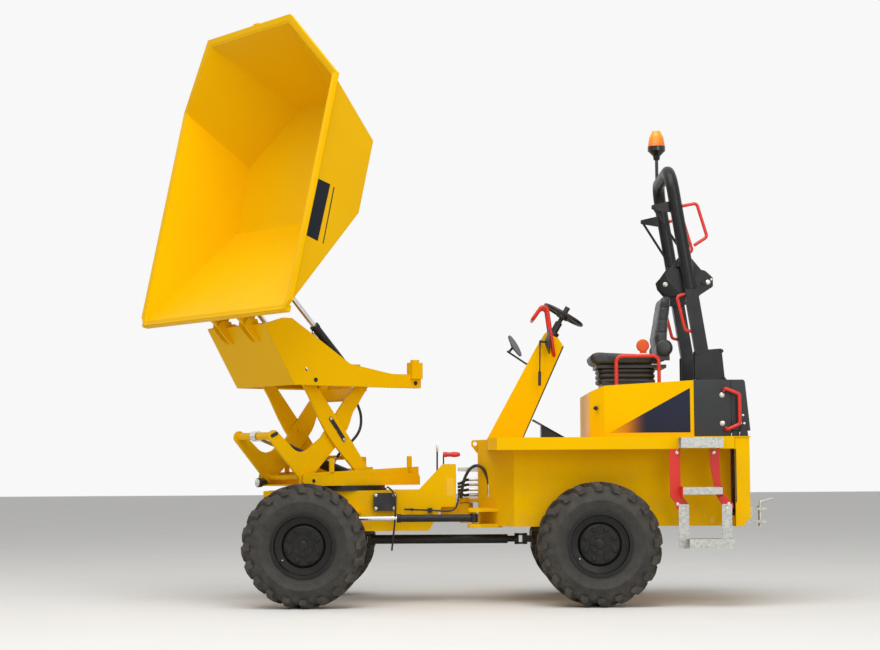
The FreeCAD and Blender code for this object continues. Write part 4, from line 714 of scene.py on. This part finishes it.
plate(mesh, [(-1560, 1700), (-1470, 1700), (-1480, 1760), (-1500, 1810), (-1560, 1800)], 226, 242)
put("seat_recliner", mesh, plastic, "rear_chassis", sharp=50)
webbing = moulded("orange_belt_webbing", "#E25A0E", "#D24E08", 0.6, 0.002, 0.0003)
mesh = bmesh.new()
turned(mesh, (-1368, 236, 1806), (-1368, 262, 1806), [(-2, 40), (3, 46), (20, 46), (26, 38), (27, 10)], 28)
plate(mesh, [(-1346, 1752), (-1396, 1752), (-1392, 1790), (-1350, 1790)], 238, 258)
put("belt_reel", mesh, webbing, "rear_chassis", MACHINE, 3.0)

# Roll bar: thick posts in a deep black gloss enamel, with bolted feet and hinge
# plates with bright pin ends. On it stands a beacon: a moulded black base under
# a ribbed clear amber lens, with a painted glow that makes it lighter towards its top.
bar_black = enamel("black_gloss_enamel", "#151617", "#121314", 0.4, 0.04, 1.0, 0.1)
finish(bar_black, "rops_lower rops_hoop")
POST_Y = 430
FOOT_TOP = 1554
POST_FACE = POST_Y + 55
HINGE_FACE = POST_Y - 45
PLATE_FACE = HINGE_FACE - 24.5
foot_bolts = bmesh.new()
hinge_bolts = bmesh.new()
pins = bmesh.new()
for sideways in (1, -1):
    for x in (-1908, -1724):
        for y in (-58, 58):
            bolt(foot_bolts, (x, sideways * POST_Y + y, FOOT_TOP), (0, 0, 1), 22, 10)
    for x, z in ((-1896, 1750), (-1724, 1738)):
        bolt(foot_bolts, (x, sideways * POST_FACE, z), (0, sideways, 0), 17, 6)
    for x, z in ((-1600, 2300), (-1640, 2392), (-1702, 2390)):
        bolt(hinge_bolts, (x, sideways * PLATE_FACE, z), (0, -sideways, 0), 22, 10)
    for x, z, profile, sides in ((-1822, 2243, [(-0.5, 17), (5, 17), (7, 14)], 24),
                                 (-1846, 2262, [(-0.5, 8), (5, 8), (6, 6)], 16)):
        turned(pins, (x, sideways * HINGE_FACE, z), (x, sideways * (HINGE_FACE + 1), z), profile, sides)
put("roll_bar_foot_bolts", foot_bolts, oiled, "rear_chassis")
put("roll_bar_hinge_bolts", hinge_bolts, zinc, "rops_upper")
put("roll_bar_pin_ends", pins, zinc, "rear_chassis")
LENS_FOOT, LENS_HEIGHT = 3.312, 0.1
beacon_lamp, tree, shader, place = start("beacon_lens_and_base", Roughness=0.14, IOR=1.49)
height = add(tree, "SeparateXYZ", {"Vector": place}, "Z")
lens = add(tree, "Math", {0: height, 1: LENS_FOOT}, operation="GREATER_THAN")
# Painted glow: the lens's amber is painted lighter from its foot up to its top.
painted_glow_rise = add(tree, "MapRange", {"Value": height, "From Min": LENS_FOOT, "From Max": LENS_FOOT + LENS_HEIGHT})
amber = add(tree, "Mix", {0: painted_glow_rise, 6: colour("#F07008"), 7: colour("#FFA414")}, 2, data_type="RGBA")
tone = add(tree, "Mix", {0: lens, 6: colour("#1A1B1C"), 7: amber}, 2, data_type="RGBA")
waves = add(tree, "TexWave", {"Vector": place, "Scale": 45.0}, "Fac", bands_direction="Z")
ribs = add(tree, "Math", {0: waves, 1: lens}, operation="MULTIPLY")
relief = add(tree, "Bump", {"Height": ribs, "Distance": 0.0008, "Strength": 0.5})
feed(tree, shader, Base_Color=tone, Normal=relief)
finish(beacon_lamp, "beacon")

# Wheels: worn black rubber with dried soil and moulded rings on the sidewall,
# a dished rim in satin black, and the hub's ring of nuts, cover screws and a
# valve. One rubber a wheel, since its rings are measured from the hub.
rim_black = enamel("wheel_black_enamel", "#0D0D0D", "#111111", 0.42, 0.03, 0.9, 0.06)
RING_PITCH = 0.014


def rubber(name, hub):
    # Scales count patterns in a metre: soil 70 mm, clouds 20 mm, fine grain 6 mm.
    material, tree, shader, place = start(name, IOR=1.45, Specular_IOR_Level=0.35)
    local = add(tree, "VectorMath", {0: place, 1: hub}, operation="SUBTRACT")
    level = add(tree, "VectorMath", {0: local, 1: (1, 0, 1)}, operation="MULTIPLY")
    radius = add(tree, "VectorMath", {0: level}, "Value", operation="LENGTH")
    drops = add(tree, "TexNoise", {"Vector": place, "Scale": 14.0, "Detail": 8, "Roughness": 0.7})
    patch = add(tree, "MapRange", {"Value": drops, "From Min": 0.38, "From Max": 0.66})
    outer = add(tree, "MapRange", {"Value": radius, "From Min": 0.24, "From Max": 0.42,
                                   "To Min": 0.15, "To Max": 0.5})
    soil = add(tree, "Math", {0: patch, 1: outer}, operation="MULTIPLY")
    cloud = add(tree, "TexNoise", {"Vector": place, "Scale": 50.0, "Detail": 3})
    tone = add(tree, "Mix", {0: cloud, 6: colour("#393835"), 7: colour("#2C2C2A")}, 2, data_type="RGBA")
    soiled = add(tree, "Mix", {0: soil, 6: tone, 7: colour("#6A6054")}, 2, data_type="RGBA")
    matt = add(tree, "MapRange", {"Value": soil, "To Min": 0.58, "To Max": 0.85})
    phase = add(tree, "Math", {0: radius, 1: 2 * math.pi / RING_PITCH}, operation="MULTIPLY")
    wave = add(tree, "Math", {0: phase}, operation="SINE")
    inner = add(tree, "MapRange", {"Value": radius, "From Min": 0.236, "From Max": 0.242})
    end = add(tree, "MapRange", {"Value": radius, "From Min": 0.272, "From Max": 0.266})
    band = add(tree, "Math", {0: inner, 1: end}, operation="MULTIPLY")
    moulding = add(tree, "Math", {0: wave, 1: band}, operation="MULTIPLY")
    grain = add(tree, "TexNoise", {"Vector": place, "Scale": 160.0})
    height = add(tree, "Math", {0: moulding, 1: grain}, operation="ADD")
    edge = add(tree, "Bevel", {"Radius": 0.005}, samples=4)
    relief = add(tree, "Bump", {"Height": height, "Distance": 0.0012, "Strength": 0.8, "Normal": edge})
    feed(tree, shader, Base_Color=soiled, Roughness=matt, Normal=relief)
    return material


HALF_WHEELBASE = 1007
HUB_Y, HUB_Z = 730, 422.5
NUT_CIRCLE, NUT_FACE = 106, 84
SCREW_CIRCLE, HUB_FACE = 52, 96
VALVE_CIRCLE, VALVE_FACE, VALVE_TURN = 170, 70, 0.6
# name, sign along the machine, sign across it
WHEELS = (("front_left", 1, 1), ("front_right", 1, -1), ("rear_left", -1, 1), ("rear_right", -1, -1))
for name, along, sideways in WHEELS:
    hub = Vector((along * HALF_WHEELBASE, sideways * HUB_Y, HUB_Z))
    finish(rubber("tyre_rubber_" + name, MACHINE @ hub), "tyre_" + name)
    finish(rim_black, "rim_" + name)
    out = Vector((0, sideways, 0))
    wheel = MACHINE @ Matrix.Translation(hub)
    mesh = bmesh.new()
    for x, z in ring_points(0, 0, NUT_CIRCLE, 8, 0.5):
        bolt(mesh, (x, sideways * NUT_FACE, z), out, 25, 12)
    for x, z in ring_points(0, 0, SCREW_CIRCLE, 6):
        bolt(mesh, (x, sideways * HUB_FACE, z), out, 13, 5)
    turned(mesh, out * HUB_FACE, out * 200, [(-2, 34), (5, 34), (9, 28), (11, 14)], 28)
    put("hub_fittings_" + name, mesh, rim_black, "wheel_" + name, wheel, sharp=25)
    mesh = bmesh.new()
    valve = Vector((math.cos(VALVE_TURN) * VALVE_CIRCLE, sideways * VALVE_FACE,
                    -math.sin(VALVE_TURN) * VALVE_CIRCLE))
    turned(mesh, valve, valve + out, [(-16, 5), (16, 5), (17, 7), (30, 7), (34, 4)], 12)
    put("valve_" + name, mesh, zinc, "wheel_" + name, wheel)

# Floor and light: a pale floor, a white world and soft boxes as from an
# overcast sky, the larger one over the machine's left side. The camera sees
# white where the object is lit by a dimmer sky.
FLOOR_HALF = 60
mesh = bmesh.new()
bmesh.ops.create_grid(mesh, x_segments=8, y_segments=8, size=FLOOR_HALF)
floor_data = bpy.data.meshes.new("floor")
mesh.to_mesh(floor_data)
mesh.free()
floor = bpy.data.objects.new("floor", floor_data)
floor.location.z = -0.002
scene.collection.objects.link(floor)
ground, tree, shader, place = start("pale_floor", Roughness=0.9)
patches = add(tree, "TexNoise", {"Vector": place, "Scale": 1.2, "Detail": 3})
tone = add(tree, "Mix", {0: patches, 6: colour("#E8E7E4"), 7: colour("#E2E1DE")}, 2, data_type="RGBA")
feed(tree, shader, Base_Color=tone)
floor_data.materials.append(ground)
world = bpy.data.worlds.new("studio")
scene.world = world
world.use_nodes = True
tree = world.node_tree
sky = tree.nodes["Background"]
sky.inputs["Color"].default_value = (1, 1, 1, 1)
seen = add(tree, "LightPath", out="Is Camera Ray")
for ray in ("Is Glossy Ray", "Is Transmission Ray"):
    seen = add(tree, "Math", {0: seen, 1: add(tree, "LightPath", out=ray)}, operation="MAXIMUM")
feed(tree, sky, Strength=add(tree, "MapRange", {"Value": seen, "To Min": 0.48, "To Max": 0.94}))
AIM = Vector((0, 0, 1.5))
# name, place, width, watts
LIGHTS = (("sky_box", (1.0, 4.0, 9.0), 8.0, 660), ("side_box", (-5.0, 12.0, 5.0), 6.0, 320))
for name, place, width, watts in LIGHTS:
    lamp = bpy.data.lights.new(name, "AREA")
    lamp.size = width
    lamp.energy = watts
    box = bpy.data.objects.new(name, lamp)
    box.location = place
    box.rotation_euler = (AIM - Vector(place)).to_track_quat("-Z", "Y").to_euler()
    scene.collection.objects.link(box)
